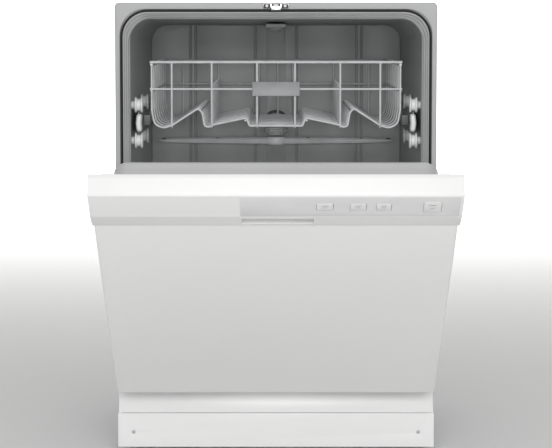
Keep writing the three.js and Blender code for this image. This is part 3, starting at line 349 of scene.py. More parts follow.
def tube(bm, points, radius, sides=8, closed=False):
    """A round bar of radius mm through points, square at its ends."""
    count = len(points)
    rings = []
    normal = None
    for i, here in enumerate(points):
        before = points[i - 1] if i or closed else here
        after = points[(i + 1) % count] if i < count - 1 or closed else here
        along = (after - before).normalized()
        if normal is None:
            normal = along.orthogonal().normalized()
        normal = (normal - along * normal.dot(along)).normalized()
        other = along.cross(normal)
        rings.append([
            bm.verts.new(here + radius * mm * (math.cos(turn) * normal + math.sin(turn) * other))
            for turn in (2 * math.pi * side / sides for side in range(sides))])
    pairs = list(zip(rings, rings[1:])) + ([(rings[-1], rings[0])] if closed else [])
    for low, high in pairs:
        for i in range(sides):
            j = (i + 1) % sides
            bm.faces.new((low[i], low[j], high[j], high[i]))
    if not closed:
        bm.faces.new(rings[0][::-1])
        bm.faces.new(rings[-1])


def bent(points, radius, steps=5, closed=False):
    """The route through points with each corner bent to a radius in mm."""
    route = []
    count = len(points)
    for i, corner in enumerate(points):
        if not closed and i in (0, count - 1):
            route.append(corner.copy())
            continue
        into, out = corner - points[i - 1], points[(i + 1) % count] - corner
        turn = into.angle(out)
        if turn < 0.01:
            route.append(corner.copy())
            continue
        bend = radius[i] if isinstance(radius, (list, tuple)) else radius
        reach = min(bend * mm * math.tan(turn / 2), 0.49 * into.length, 0.49 * out.length)
        start, end = corner - into.normalized() * reach, corner + out.normalized() * reach
        for step in range(steps + 1):
            t = step / steps
            route.append((1 - t) ** 2 * start + 2 * t * (1 - t) * corner + t * t * end)
    return route


bm = bmesh.new()
sump_low, sump_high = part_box("filter_screen")
sump_centre = Vector(((sump_low.x + sump_high.x) / 2, (sump_low.y + sump_high.y) / 2, 0.0))
turned(bm, SCREEN[:-1] + [SCREEN[0]], sump_centre, sides=48)
bmesh.ops.remove_doubles(bm, verts=bm.verts, dist=1e-6)
placed("filter_mesh", bm, screen_steel, "stainless", "cabinet", "filter_screen")

HEATER_LEVEL = 195.0
heater_half = [(22, 112, 172), (22, 112, HEATER_LEVEL), (118, 124, HEATER_LEVEL), (158, 150, HEATER_LEVEL),
               (158, 452, HEATER_LEVEL), (110, 480, HEATER_LEVEL)]
heater_route = [at(x, y, z) for x, y, z in heater_half] + [at(-x, y, z) for x, y, z in reversed(heater_half)]
bm = bmesh.new()
tube(bm, bent(heater_route, 24), 4.0, sides=12)
placed("heater_rod", bm, heater_steel, "heater_steel", "cabinet", "heating_element")

# ---------- Tub ----------
# The tub is one moulding in grey polypropylene. Its front frame steps down in three fine ledges to
# the mouth, the walls draw in towards the back, and shallow channels stiffen the back wall.
FRAME_HALF, FRAME_TOP, FRAME_FOOT = 301.0, 855.0, 180.0
MOUTH_HALF, MOUTH_TOP, SILL = 284.0, 834.0, 203.0
STEP, STEP_PLACES = 3.5, (8.0, 16.0, 25.0)
CAVITY_FRONT = (274.5, 824.5)  # half width and ceiling just behind the steps
CAVITY_BACK = (267.0, 816.0)
TUB_BACK = 572.0
WALL = 4.0
FRAME_GREY, FRAME_SHADE = (0.44, 0.445, 0.445), (0.41, 0.415, 0.415)
# The cavity pair is painted shade for the steps and the inside of the tub.
CAVITY_PAINTED_SHADE_GREY, CAVITY_PAINTED_SHADE_DARK = (0.45, 0.46, 0.462), (0.39, 0.40, 0.402)


def tub_finish_with_painted_shade():
    """Grey polypropylene on the frame, blending from just behind its face to a second grey pair that is
    painted shade for the steps and the cavity.
    """
    material = finish("tub_plastic", FRAME_GREY, FRAME_SHADE, 0.42, mottle=14, grain=1400, relief=0.12)
    nodes, links = material.node_tree.nodes, material.node_tree.links
    shader = nodes["Principled BSDF"]
    frame_colour = shader.inputs["Base Color"].links[0].from_socket
    cloud = frame_colour.node.inputs["Fac"].links[0].from_socket
    cavity = nodes.new("ShaderNodeValToRGB")
    cavity.color_ramp.elements[0].position = 0.3
    cavity.color_ramp.elements[0].color = (*CAVITY_PAINTED_SHADE_DARK, 1.0)
    cavity.color_ramp.elements[1].position = 0.7
    cavity.color_ramp.elements[1].color = (*CAVITY_PAINTED_SHADE_GREY, 1.0)
    place = nodes.new("ShaderNodeTexCoord")
    split = nodes.new("ShaderNodeSeparateXYZ")
    # Painted shade: from 0.8 mm to 10 mm behind the frame's face the colour blends to the cavity pair.
    depth = nodes.new("ShaderNodeMapRange")
    depth.inputs["From Min"].default_value = FRONT + 0.8 * mm
    depth.inputs["From Max"].default_value = FRONT + 10.0 * mm
    mix = nodes.new("ShaderNodeMix")
    mix.data_type = "RGBA"
    links.new(place.outputs["Object"], split.inputs["Vector"])
    links.new(split.outputs["Y"], depth.inputs["Value"])
    links.new(cloud, cavity.inputs["Fac"])
    links.new(depth.outputs["Result"], mix.inputs["Factor"])
    links.new(frame_colour, mix.inputs["A"])
    links.new(cavity.outputs["Color"], mix.inputs["B"])
    links.new(mix.outputs["Result"], shader.inputs["Base Color"])
    return material


def mouth_ring(half, low, top, radius, low_radius, y, steps=10):
    """Points round a rounded rectangle in the plane y, always the same number of them."""
    corners = [(half - low_radius, low + low_radius, low_radius, -90),
               (half - radius, top - radius, radius, 0),
               (-half + radius, top - radius, radius, 90),
               (-half + low_radius, low + low_radius, low_radius, 180)]
    points = []
    for x, z, bend, start in corners:
        for step in range(steps + 1):
            turn = math.radians(start + 90 * step / steps)
            points.append(at(x + bend * math.cos(turn), y, z + bend * math.sin(turn)))
    return points


def lofted(bm, rings, caps=True):
    """Skins a row of point rings, and closes both ends."""
    loops = [[bm.verts.new(point) for point in ring] for ring in rings]
    count = len(loops[0])
    for low, high in zip(loops, loops[1:]):
        for i in range(count):
            j = (i + 1) % count
            bm.faces.new((low[i], low[j], high[j], high[i]))
    if caps:
        bm.faces.new(loops[0][::-1])
        bm.faces.new(loops[-1])


def wall_at(y):
    """Half width and ceiling of the cavity at a depth."""
    share = (y - STEP_PLACES[-1]) / (TUB_BACK - STEP_PLACES[-1])
    return tuple(a + (b - a) * share for a, b in zip(CAVITY_FRONT, CAVITY_BACK))


def tub_rings():
    half, top = wall_at(TUB_BACK)
    rings = [mouth_ring(half + WALL - 6, FLOOR + 1, top + WALL - 6, 38, 6, TUB_BACK + WALL)]
    rings.append(mouth_ring(half + WALL, FLOOR - 5, top + WALL, 44, 10, TUB_BACK + WALL - 5))
    half, top = wall_at(30)
    rings.append(mouth_ring(half + WALL, FLOOR - 5, top + WALL, 44, 10, 30))
    rings.append(mouth_ring(MOUTH_HALF + 1, FRAME_FOOT + 2, MOUTH_TOP + 4, 46, 4, 27))
    rings.append(mouth_ring(MOUTH_HALF + 1, FRAME_FOOT + 2, MOUTH_TOP + 4, 46, 4, 12))
    rings.append(mouth_ring(FRAME_HALF, FRAME_FOOT, FRAME_TOP, 8, 2, 12))
    for inset, y in ((0, 2.0), (0.5, 0.7), (1.6, 0.1), (3.0, 0)):
        rings.append(mouth_ring(FRAME_HALF - inset, FRAME_FOOT + inset, FRAME_TOP - inset, 8, 2, y))
    for groove, y in ((9.2, 0), (9.2, 5), (14.8, 5), (14.8, 0)):
        rings.append(mouth_ring(FRAME_HALF - groove, FRAME_FOOT + 8 + groove / 3, FRAME_TOP - groove - 3,
                                50 - groove / 3, 4, y))
    rings.append(mouth_ring(MOUTH_HALF + 1.0, SILL - 1.0, MOUTH_TOP + 1.0, 47, 6, 0))
    rings.append(mouth_ring(MOUTH_HALF, SILL, MOUTH_TOP, 46, 6, 1.0))
    for index, place in enumerate(STEP_PLACES):
        inset = STEP * index
        rings.append(mouth_ring(MOUTH_HALF - inset, SILL, MOUTH_TOP - inset, 46, 6, place - 0.9))
        rings.append(mouth_ring(MOUTH_HALF - inset - 0.9, SILL, MOUTH_TOP - inset - 0.9, 46, 6, place))
        if index < 2:
            rings.append(mouth_ring(MOUTH_HALF - inset - 2.6, SILL, MOUTH_TOP - inset - 2.6, 46, 6, place))
            rings.append(mouth_ring(MOUTH_HALF - inset - STEP, SILL, MOUTH_TOP - inset - STEP, 46, 6,
                                    place + 0.9))
    rings.append(mouth_ring(CAVITY_FRONT[0], SILL, CAVITY_FRONT[1], 40, 6, 26))
    half, top = wall_at(33)
    rings.append(mouth_ring(half, SILL - 1, top, 40, 6, 33))
    rings.append(mouth_ring(half, FLOOR, top, 40, 8, 40))
    half, top = wall_at(TUB_BACK - 9)
    rings.append(mouth_ring(half, FLOOR, top, 40, 8, TUB_BACK - 9))
    rings.append(mouth_ring(half - 1.5, FLOOR + 1.5, top - 1.5, 39, 8, TUB_BACK - 3))
    rings.append(mouth_ring(half - 5, FLOOR + 5, top - 5, 37, 8, TUB_BACK))
    return rings


tub_plastic = tub_finish_with_painted_shade()
bm = bmesh.new()
lofted(bm, tub_rings())
tub = placed("tub_moulding", bm, tub_plastic, "tub_plastic", "cabinet", "tub", smooth=50)
tool = bmesh.new()
turned(tool, [(0, FLOOR - 12), (92, FLOOR - 12), (92, FLOOR + 6), (0, FLOOR + 6)], sump_centre, sides=64)
for x in (-294.5, 294.5):  # room for a hinge arm's ear when the door is shut
    block(tool, at(x - 7.5, -1, 179), at(x + 7.5, 32, 240))
carved(tub, tool, smooth=50)


def soft_block(bm, x0, x1, y0, y1, z0, z1, round_over=1.2):
    """A block with its edges rounded over, between two corners in mm from the frame."""
    made = block(bm, at(x0, y0, z0), at(x1, y1, z1))
    edges = {edge for vert in made["verts"] for edge in vert.link_edges}
    bmesh.ops.bevel(bm, geom=list(edges), offset=round_over * mm, segments=3, profile=0.5, affect="EDGES",
                    clamp_overlap=True)


PANEL_PROUD = 6.5  # the flat panels between the channels stand this much inside the wall
PANEL_FOOT, PANEL_TOP, PANEL_CORNER = 200.0, 813.0, 34.0
PANELS = ((-264.5, -184.6), (-180.2, -173.7), (-169.3, -46.2), (-41.4, 41.4), (46.2, 169.3), (173.7, 180.2),
          (184.6, 264.5))


def wall_panel(bm, left, right):
    """A flat panel with rounded upright edges; the two outermost follow the tub's corners at the top."""
    rings = []
    for inset, proud in ((0.0, -2.0), (0.0, PANEL_PROUD - 1.4), (0.4, PANEL_PROUD - 0.4), (1.4, PANEL_PROUD)):
        x0, x1, top, foot = left + inset, right - inset, PANEL_TOP - inset, PANEL_FOOT + inset
        ring = [(x0, foot), (x1, foot)]
        bend = PANEL_CORNER if right > 260 else 1.0
        ring += [(x1 - bend * (1 - math.sin(math.radians(90 - a))),
                  top - bend * (1 - math.sin(math.radians(a)))) for a in range(0, 91, 10)]
        bend = PANEL_CORNER if left < -260 else 1.0
        ring += [(x0 + bend * (1 - math.sin(math.radians(a))),
                  top - bend * (1 - math.sin(math.radians(90 - a)))) for a in range(0, 91, 10)]
        rings.append([at(x, TUB_BACK - proud, z) for x, z in ring])
    lofted(bm, rings)


bm = bmesh.new()
for left, right in PANELS:
    wall_panel(bm, left, right)
placed("tub_back_panels", bm, tub_plastic, "tub_plastic", "cabinet")

bm = bmesh.new()
for sign in (-1, 1):
    inner, outer = sorted((sign * 232, sign * 268))
    soft_block(bm, inner, outer, 30, 571, FLOOR - 2, 204.5, round_over=3)
placed("wheel_tracks", bm, tub_plastic, "tub_plastic", "cabinet")

bm = bmesh.new()
for x in (-180, -60, 60, 180):
    soft_block(bm, x - 4, x + 4, TUB_BACK + 2, TUB_BACK + 9, 200, 756, round_over=1.5)
placed("tub_back_ribs", bm, tub_plastic, "tub_plastic", "cabinet")

# ---------- Tub gasket ----------
# A black rubber lip seal pressed into a groove in the frame, up one side, over the top and down the
# other. The closed door's liner squeezes it.
rubber = finish("gasket_rubber", (0.018, 0.018, 0.019), (0.01, 0.01, 0.011), 0.62, mottle=90, grain=1500,
                relief=0.15)
GASKET_SECTION = [(-2.0, 4.6), (-2.0, 0.5), (-2.3, -1.2), (-1.9, -3.8), (-0.9, -5.7), (0.4, -6.6),
                  (1.6, -6.4),
                  (1.2, -4.6), (1.5, -2.6), (2.3, -0.8), (2.0, 0.5), (2.0, 4.6)]
GASKET_LINE = (289.0, 840.0, 250.3, 50.0)  # half width, top, foot and corner radius


def gasket_route():
    half, top, foot, radius = GASKET_LINE
    route = [(half, foot, 0.0), (half, (foot + top) / 2, 0.0)]
    for start, x in ((0, half - radius), (90, radius - half)):
        for step in range(13):
            turn = math.radians(start + 90 * step / 12)
            route.append((x + radius * math.cos(turn), top - radius + radius * math.sin(turn), turn))
    return route + [(-half, (foot + top) / 2, math.pi), (-half, foot, math.pi)]


bm = bmesh.new()
lofted(bm, [[at(x + side * math.cos(turn), out, z + side * math.sin(turn)) for side, out in GASKET_SECTION]
            for x, z, turn in gasket_route()])
placed("gasket_lip", bm, rubber, "gasket_rubber", "cabinet", "tub_gasket", smooth=60)

# ---------- Insulation blanket ----------
# A thick grey felt mat wraps the top and both sides of the tub and is tacked down in rows, so that
# it puffs a little between them.
felt = finish("felt", (0.30, 0.30, 0.295), (0.19, 0.19, 0.19), 0.95, mottle=160, grain=2600, relief=0.9)
FELT_FRONT, FELT_BACK, FELT_FOOT = 35.5, 565.5, 255.5
FELT_THICKNESS = 6.2


def blanket_line(half, top, radius, steps=10):
    """Up the right side, over and down the left, as (x, z, direction outwards)."""
    line = [(half, FELT_FOOT + (top - radius - FELT_FOOT) * i / 14, 0.0) for i in range(14)]
    for step in range(steps + 1):
        turn = math.radians(90 * step / steps)
        line.append((half - radius + radius * math.cos(turn), top - radius + radius * math.sin(turn), turn))
    line += [((half - radius) * (1 - i / 7), top, math.pi / 2) for i in range(1, 7)]
    return line + [(0, top, math.pi / 2)] + [(-x, z, math.pi - turn) for x, z, turn in reversed(line)]


def blanket():
    bm = bmesh.new()
    rings = []
    rows = 40
    for row in range(rows + 1):
        y = FELT_FRONT + (FELT_BACK - FELT_FRONT) * row / rows
        half, top = wall_at(y)
        line = blanket_line(half + WALL + 0.9, top + WALL + 0.9, 45)
        ring = [at(x, y, z) for x, z, turn in line]
        for i, (x, z, turn) in reversed(list(enumerate(line))):
            quilt = abs(math.sin(math.pi * row / 10)) * abs(math.sin(math.pi * i / 9))
            puff = FELT_THICKNESS - 2.2 + 2.4 * quilt + 0.5 * noise.noise(Vector((x, y, z)) * 0.05)
            edge = 0.5 if row in (0, rows) else 0.0
            ring.append(at(x + (puff - edge) * math.cos(turn), y, z + (puff - edge) * math.sin(turn)))
        rings.append(ring)
    lofted(bm, rings)
    return bm


placed("felt_blanket", blanket(), felt, "felt", "cabinet", "insulation_blanket", smooth=70)

# ---------- Latch strike ----------
# A pressed steel hook is screwed to the top of the frame, in a black plastic surround with a white
# wear pad. The door's latch bolt catches behind the hook.
steel = finish("bright_steel", (0.66, 0.67, 0.68), (0.5, 0.51, 0.52), 0.26, mottle=80, grain=900,
               relief=0.03, metallic=1.0)
white_plastic = finish("white_plastic", (0.86, 0.865, 0.86), (0.8, 0.805, 0.8), 0.36, mottle=20, grain=900,
                       relief=0.05)
softened("latch_strike", steel, width=0.4)
bm = bmesh.new()
soft_block(bm, -23, -10.5, -4.2, -2.4, 844.5, 852, round_over=0.8)
soft_block(bm, 10.5, 23, -4.2, -2.4, 844.5, 852, round_over=0.8)
soft_block(bm, -8, 8, -4.6, -2.4, 848, 852.4, round_over=0.8)
placed("strike_surround", bm, black_plastic, "dark_plastic", "cabinet")
bm = bmesh.new()
soft_block(bm, -4.5, 4.5, -7, -4.2, 848.2, 851.5, round_over=0.7)
for x in (-17, 17):
    turned(bm, [(0, -1.6), (1.6, -1.5), (2.6, -0.9), (2.8, 0), (0, 0)], at(x, -4.1, 848.4), axis="Y",
           sides=20)
placed("strike_pad_and_screws", bm, white_plastic, "white_plastic", "cabinet")

# ---------- Feed tube, docking port and top nozzle ----------
# A flat moulded duct climbs the back wall and runs forward under the ceiling to the top nozzle. Its
# hooded port feeds the upper arm when the rack is home.
grey_plastic = finish("grey_plastic", (0.42, 0.43, 0.43), (0.34, 0.35, 0.35), 0.42, mottle=30, grain=900,
                      relief=0.08)
duct_plastic = finish("duct_plastic", (0.42, 0.43, 0.432), (0.36, 0.37, 0.372), 0.45, mottle=24, grain=1100,
                      relief=0.1)
softened("spray_feed_tube", duct_plastic, width=1.2, segments=3)

PORT = (618.0, 22.0, 15.0)  # the hood's foot, half width and rise
bm = bmesh.new()
foot, half, rise = PORT
arch = [(half * math.cos(math.radians(a)), foot + rise * math.sin(math.radians(a)))
        for a in range(0, 181, 12)]
inner_arch = [((half - 6) * math.cos(math.radians(a)),
               foot + (rise - 6) * math.sin(math.radians(a))) for a in range(180, -1, -12)]
rim = arch + inner_arch
front_loop = [bm.verts.new(at(x, 561.9, z)) for x, z in rim]
back_loop = [bm.verts.new(at(x, 566.5, z)) for x, z in rim]
bm.faces.new(front_loop)
bm.faces.new(back_loop[::-1])
for i in range(len(rim)):
    j = (i + 1) % len(rim)
    bm.faces.new((front_loop[i], back_loop[i], back_loop[j], front_loop[j]))
placed("docking_hood", bm, black_plastic, "dark_plastic", "cabinet")

nozzle_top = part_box("top_spray_nozzle")[1].z / mm
bm = bmesh.new()
turned(bm, [(0, nozzle_top - 8.6), (3, nozzle_top - 8.9), (7, nozzle_top - 8.2), (9.5, nozzle_top - 7.4),
            (11, nozzle_top - 5.4), (15.2, nozzle_top - 4.2),
            (16, nozzle_top - 3.2), (16, nozzle_top - 0.4), (15.6, nozzle_top),
            (0, nozzle_top)],
       at(0, 310, 0), sides=40)
placed("top_nozzle_cap", bm, duct_plastic, "grey_plastic", "cabinet", "top_spray_nozzle")

# ---------- Tub rollers ----------
# Eight white acetal spools turn on pins in the side walls, four each side in two pairs. The upper
# rack's runners pass between the upper and lower ones.
ROLLER_RADIUS, ROLLER_HUB, ROLLER_BORE = 15.0, 11.0, 4.7
ROLLER_HALF = 7.2
roller_profile = [(ROLLER_BORE, -ROLLER_HALF), (8.5, -ROLLER_HALF), (9.2, -ROLLER_HALF + 1.2),
                  (12.2, -ROLLER_HALF + 1.2), (13.0, -ROLLER_HALF), (14.5, -ROLLER_HALF),
                  (ROLLER_RADIUS, -ROLLER_HALF + 0.6), (ROLLER_RADIUS, -5.4), (14.0, -4.0), (12.2, -2.9),
                  (ROLLER_HUB, -2.4)]
roller_profile += [(radius, -along) for radius, along in reversed(roller_profile)]


def spool(bm, profile, centre, sides=36):
    """A turned ring about a pin along X; its profile goes round the bore and back to its start."""
    loops = []
    for radius, along in profile:
        loops.append([bm.verts.new(centre + Vector((
            along * mm, radius * mm * math.cos(2 * math.pi * i / sides),
            radius * mm * math.sin(2 * math.pi * i / sides))))
            for i in range(sides)])
    for low, high in zip(loops, loops[1:] + loops[:1]):
        for i in range(sides):
            j = (i + 1) % sides
            bm.faces.new((low[i], low[j], high[j], high[i]))


pins = bmesh.new()
for node in [n for n in frame["nodes"] if n.startswith("tub_roller_")]:
    low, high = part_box(node)
    centre = (low + high) / 2
    bm = bmesh.new()
    spool(bm, roller_profile, centre)
    placed(node + "_wheel", bm, white_plastic, "white_plastic", node + "_body", node)
    sign = 1 if centre.x > 0 else -1
    wall = wall_at((centre.y - FRONT) / mm)[0]
    centre.x = 0
    pin = [(0, 252.6), (3.2, 252.6), (4.0, 253.4), (4.0, 268.4), (7.0, 268.8), (7.4, 269.4),
           (7.6, wall + 1), (0, wall + 1)]
    turned(pins, [(radius, sign * along) for radius, along in pin], centre, axis="X", sides=24)
placed("roller_pins", pins, white_plastic, "tub_plastic", "cabinet")

# ---------- Upper rack ----------
# Round steel wires, welded and coated pale grey. Eight cross wires rise and dip over two shelves on
# each side, under a straight front rail and a rail bent round the sides and back.
rack_coating = finish("rack_coating", (0.66, 0.675, 0.68), (0.56, 0.575, 0.58), 0.34, mottle=60, grain=700,
                      relief=0.06)
WIRE, RAIL = 2.1, 2.7
RACK_FRONT, RACK_BACK = 60.0, 560.0
UPPER_HALF, UPPER_TOP, UPPER_SECOND, UPPER_FLOOR = 236.0, 743.0, 692.0, 622.0
CROSS_WIRES = 8
SHELF = [(0, 0, 1), (50.5, 0, 4), (55, 12.5, 4), (60.5, 14.5, 4), (118, 2.5, 8), (128, -2.5, 7),
         (136, 0, 6), (140, 24, 8), (147, 34, 6),
         (198, 1, 8), (214, -4, 14), (231, 3, 20), (UPPER_HALF, 30, 14),
         (UPPER_HALF, 121, 1)]  # x, rise and bend radius
TINE_ROWS, TINE_TOP = (36.0, 122.0), 700.0


def cross_wire(y):
    half = [(at(x, y, UPPER_FLOOR + rise), bend) for x, rise, bend in SHELF]
    other = [(Vector((-point.x, point.y, point.z)), bend) for point, bend in half]
    route = other[:0:-1] + half
    return bent([point for point, bend in route], [bend for point, bend in route], steps=4)


def rack_rail(bm, half, level, radius, overhang=3.5):
    """A straight wire across the front on top of a wire bent round the sides and back."""
    tube(bm, [at(-half - overhang, RACK_FRONT, level), at(half + overhang, RACK_FRONT, level)], radius,
         sides=10)
    drop = level - 1.7 * radius
    around = [at(-half, RACK_FRONT - 4, drop), at(-half, RACK_BACK, drop), at(half, RACK_BACK, drop),
              at(half, RACK_FRONT - 4, drop)]
    tube(bm, bent(around, 22, steps=8), radius, sides=10)


bm = bmesh.new()
for index in range(CROSS_WIRES):
    tube(bm, cross_wire(RACK_FRONT + (RACK_BACK - RACK_FRONT) * index / (CROSS_WIRES - 1)), WIRE, sides=8)
rack_rail(bm, UPPER_HALF, UPPER_TOP, RAIL)
rack_rail(bm, UPPER_HALF, UPPER_SECOND, WIRE)
for sign in (-1, 1):
    for x in (36.0, 122.0, 198.0):
        low = UPPER_FLOOR - 3.6
        hoop = [at(sign * x, RACK_FRONT - 1, UPPER_TOP - 2), at(sign * x, RACK_FRONT - 1, low),
                at(sign * x, RACK_BACK + 1, low),
                at(sign * x, RACK_BACK + 1, UPPER_TOP - 5)]
        tube(bm, bent(hoop, 9), WIRE, sides=8)
    for x, rise in ((58.0, 10.4), (143.5, 28.4)):
        tube(bm, [at(sign * x, RACK_FRONT, UPPER_FLOOR + rise),
                  at(sign * x, RACK_BACK, UPPER_FLOOR + rise)], WIRE, sides=8)
    for x in TINE_ROWS:
        for index in range(13):
            y = RACK_FRONT + 30 + index * 36.5
            tube(bm, [at(sign * x, y, UPPER_FLOOR - 3), at(sign * x, y, TINE_TOP)], WIRE * 0.85, sides=8)
tube(bm, [at(4, RACK_BACK + 1, UPPER_FLOOR - 3), at(4, RACK_BACK + 1, UPPER_TOP - 5)], WIRE, sides=8)
placed("upper_rack_wires", bm, rack_coating, "rack_coating", "upper_rack_body", "upper_rack", smooth=60)

# ---------- Rack plate ----------
# A blank moulded plate of dark grey plastic is clipped over the front wires. Its face is slightly
# sunk inside a raised rim.
badge_plastic = finish("badge_plastic", (0.36, 0.37, 0.375), (0.31, 0.32, 0.325), 0.44, mottle=40,
                       grain=1300, relief=0.1)
low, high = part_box("rack_badge")
bm = bmesh.new()
block(bm, low, high)
front = [face for face in bm.faces if face.normal.y < -0.9]
bmesh.ops.inset_region(bm, faces=front, thickness=2.4 * mm, depth=0)
for vert in front[0].verts:
    vert.co.y += 0.9 * mm
bmesh.ops.bevel(bm, geom=list(bm.edges), offset=0.5 * mm, segments=2, affect="EDGES", clamp_overlap=True)
placed("rack_plate", bm, badge_plastic, "badge_plastic", "upper_rack_body", "rack_badge")

# ---------- Upper spray arm and its manifold ----------
# The manifold under the rack's floor feeds the arm through a ribbed ring nut. The arm is a hollow
# lens-shaped wing with a ridge along it and a nozzle by each tip.
arm_plastic = finish("arm_plastic", (0.62, 0.63, 0.635), (0.52, 0.53, 0.535), 0.36, mottle=26, grain=800,
                     relief=0.08)
HUB = (0.0, 310.0)


def spray_arm(bm, span, low, high, width, ridge):
    """A wing lofted along X about the hub: full in the middle, thin and pointed at its tips."""
    middle = (low + high) / 2
    rings = []
    for step in range(-24, 25):
        share = step / 24
        reach = span / 2 * share
        taper = math.sqrt(max(1 - abs(share) ** 6, 0.0)) * (1 - 0.28 * abs(share)) + 0.05
        half_width, half_height = width / 2 * taper, (high - low) / 2 * taper
        section = [(half_width, 0), (half_width * 0.8, half_height * 0.62),
                   (half_width * 0.35, half_height * 0.86), (half_width * 0.1, half_height),
                   (-half_width * 0.1, half_height), (-half_width * 0.35, half_height * 0.86),
                   (-half_width * 0.8, half_height * 0.62),
                   (-half_width, 0), (-half_width * 0.8, -half_height * 0.7),
                   (-half_width * 0.3, -half_height), (half_width * 0.3, -half_height),
                   (half_width * 0.8, -half_height * 0.7)]
        rings.append([at(reach, HUB[1] + along,
                         middle + up + (ridge if up > half_height * 0.9 else 0)) for along, up in section])
    lofted(bm, rings)


def nozzle(bm, x, y, z, radius=4.2):
    turned(bm, [(0, -1), (radius, -1), (radius, 0.4), (radius - 0.9, 1.0), (radius - 1.6, 0.2), (0, 0.2)],
           at(x, y, z), sides=20)


bm = bmesh.new()
spray_arm(bm, 475, 573.4, 588.6, 34, 0.4)
turned(bm, [(0, 572.2), (17, 572.2), (20, 573.5), (22, 577), (22, 585), (20, 588.6), (15, 589.8),
            (0, 589.8)], at(*HUB, 0), sides=48)
placed("upper_arm_wing", bm, arm_plastic, "grey_plastic", "upper_spray_arm_body", "upper_spray_arm",
       smooth=42)
bm = bmesh.new()
for x, y in ((172, -4), (-172, 4), (118, 5), (-118, -5), (226, 0), (-226, 0), (64, -5), (-64, 5)):
    nozzle(bm, x, HUB[1] + y, 587.6 - abs(x) * 0.012)
placed("upper_arm_nozzles", bm, black_plastic, "dark_plastic", "upper_spray_arm_body")

bm = bmesh.new()
ring_nut = [(0, 592.6), (17, 592.6), (20, 593.4), (20, 596), (23.6, 597), (24, 598.4), (24, 600),
            (21.6, 601), (21.6, 603.6), (24, 604.6),
            (24, 607.6), (22, 609), (19, 610), (19, 613.8), (0, 613.8)]
turned(bm, ring_nut, at(*HUB, 0), sides=48)
for index in range(12):
    turn = math.radians(30 * index)
    soft_block(bm, HUB[0] + 21.6 * math.cos(turn) - 1.6, HUB[0] + 21.6 * math.cos(turn) + 1.6,
               HUB[1] + 21.6 * math.sin(turn) - 1.6,
               HUB[1] + 21.6 * math.sin(turn) + 1.6, 597, 607, round_over=0.6)
soft_block(bm, -15, 15, 330, 562.6, 598.2, 609.8, round_over=3)
placed("manifold_nut", bm, grey_plastic, "grey_plastic", "upper_rack_body", "rack_manifold")

# ---------- Runners and their end caps ----------
# A moulded rail on each side of the rack rolls between the spools. A rounded white cap snaps over
# its front end and stops the rack from running out.
runner_plastic = finish("runner_plastic", (0.17, 0.175, 0.177), (0.13, 0.135, 0.137), 0.4, mottle=40,
                        grain=1000, relief=0.08)
softened("rack_runner_left", runner_plastic, width=1.0, segments=3)
softened("rack_runner_right", runner_plastic, width=1.0, segments=3)


def runner_cap(bm, low, high):
    """A bulging cushion of plastic that fills a box, flat at its back."""
    centre, half = (low + high) / 2, (high - low) / 2
    rings = []
    for step in range(9):
        share = step / 8
        swell = math.sin(math.radians(20 + 70 * share)) if share < 1 else 1.0
        y = low.y + (high.y - low.y) * (1 - math.cos(math.radians(90 * share)))
        ring = []
        for i in range(32):
            turn = 2 * math.pi * i / 32
            c, s = math.cos(turn), math.sin(turn)
            rise = (0.55 + 0.45 * swell) * math.copysign(abs(s) ** 0.4, s)
            lean = -math.copysign(0.3 * rise, centre.x)
            ring.append(Vector((centre.x + half.x * 0.85 * (swell * math.copysign(abs(c) ** 0.6, c) + lean),
                                y, centre.z + half.z * rise)))
        rings.append(ring)
    lofted(bm, rings)


for side in ("left", "right"):
    node = "runner_cap_" + side
    bm = bmesh.new()
    runner_cap(bm, *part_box(node))
    placed(node + "_bulge", bm, white_plastic, "white_plastic", "upper_rack_body", node, smooth=60)

# ---------- Lower rack ----------
# A deeper basket of the same coated wire, with two rows of plate tines and wire brackets down to
# its four wheels.
LOWER_HALF, LOWER_TOP, LOWER_FLOOR = 228.0, 442.0, 252.0
WHEEL_LEVEL = 225.0
LOWER_RUNS = (0.0, 61.6, 123.1, 182.4)  # the lengthwise wires, from the middle outwards
TINES = (150.0, 400.0)
bm = bmesh.new()
for index in range(12):
    y = RACK_FRONT + 16 + (RACK_BACK - RACK_FRONT - 32) * index / 11
    route = [at(-LOWER_HALF, y, LOWER_TOP), at(-LOWER_HALF, y, LOWER_FLOOR), at(LOWER_HALF, y, LOWER_FLOOR),
             at(LOWER_HALF, y, LOWER_TOP)]
    tube(bm, bent(route, 20), WIRE, sides=8)
for x in LOWER_RUNS:
    for sign in ((-1, 1) if x else (1,)):
        route = [at(sign * x, RACK_FRONT - 1, LOWER_TOP - 2), at(sign * x, RACK_FRONT - 1, LOWER_FLOOR - 3.6),
                 at(sign * x, RACK_BACK + 1, LOWER_FLOOR - 3.6), at(sign * x, RACK_BACK + 1, LOWER_TOP - 5)]
        tube(bm, bent(route, 20), WIRE, sides=8)
rack_rail(bm, LOWER_HALF, LOWER_TOP, RAIL, overhang=3.0)
rack_rail(bm, LOWER_HALF, 347.0, WIRE, overhang=3.0)
for y in TINES:
    tube(bm, [at(-LOWER_HALF + 2, y, LOWER_FLOOR), at(LOWER_HALF - 2, y, LOWER_FLOOR)], WIRE, sides=8)
    for index in range(13):
        x = -200 + 260 * index / 12
        tube(bm, bent([at(x, y, LOWER_FLOOR - 1), at(x, y + 2, LOWER_FLOOR + 40),
                       at(x, y + 8, LOWER_FLOOR + 95)], 60), WIRE, sides=8)
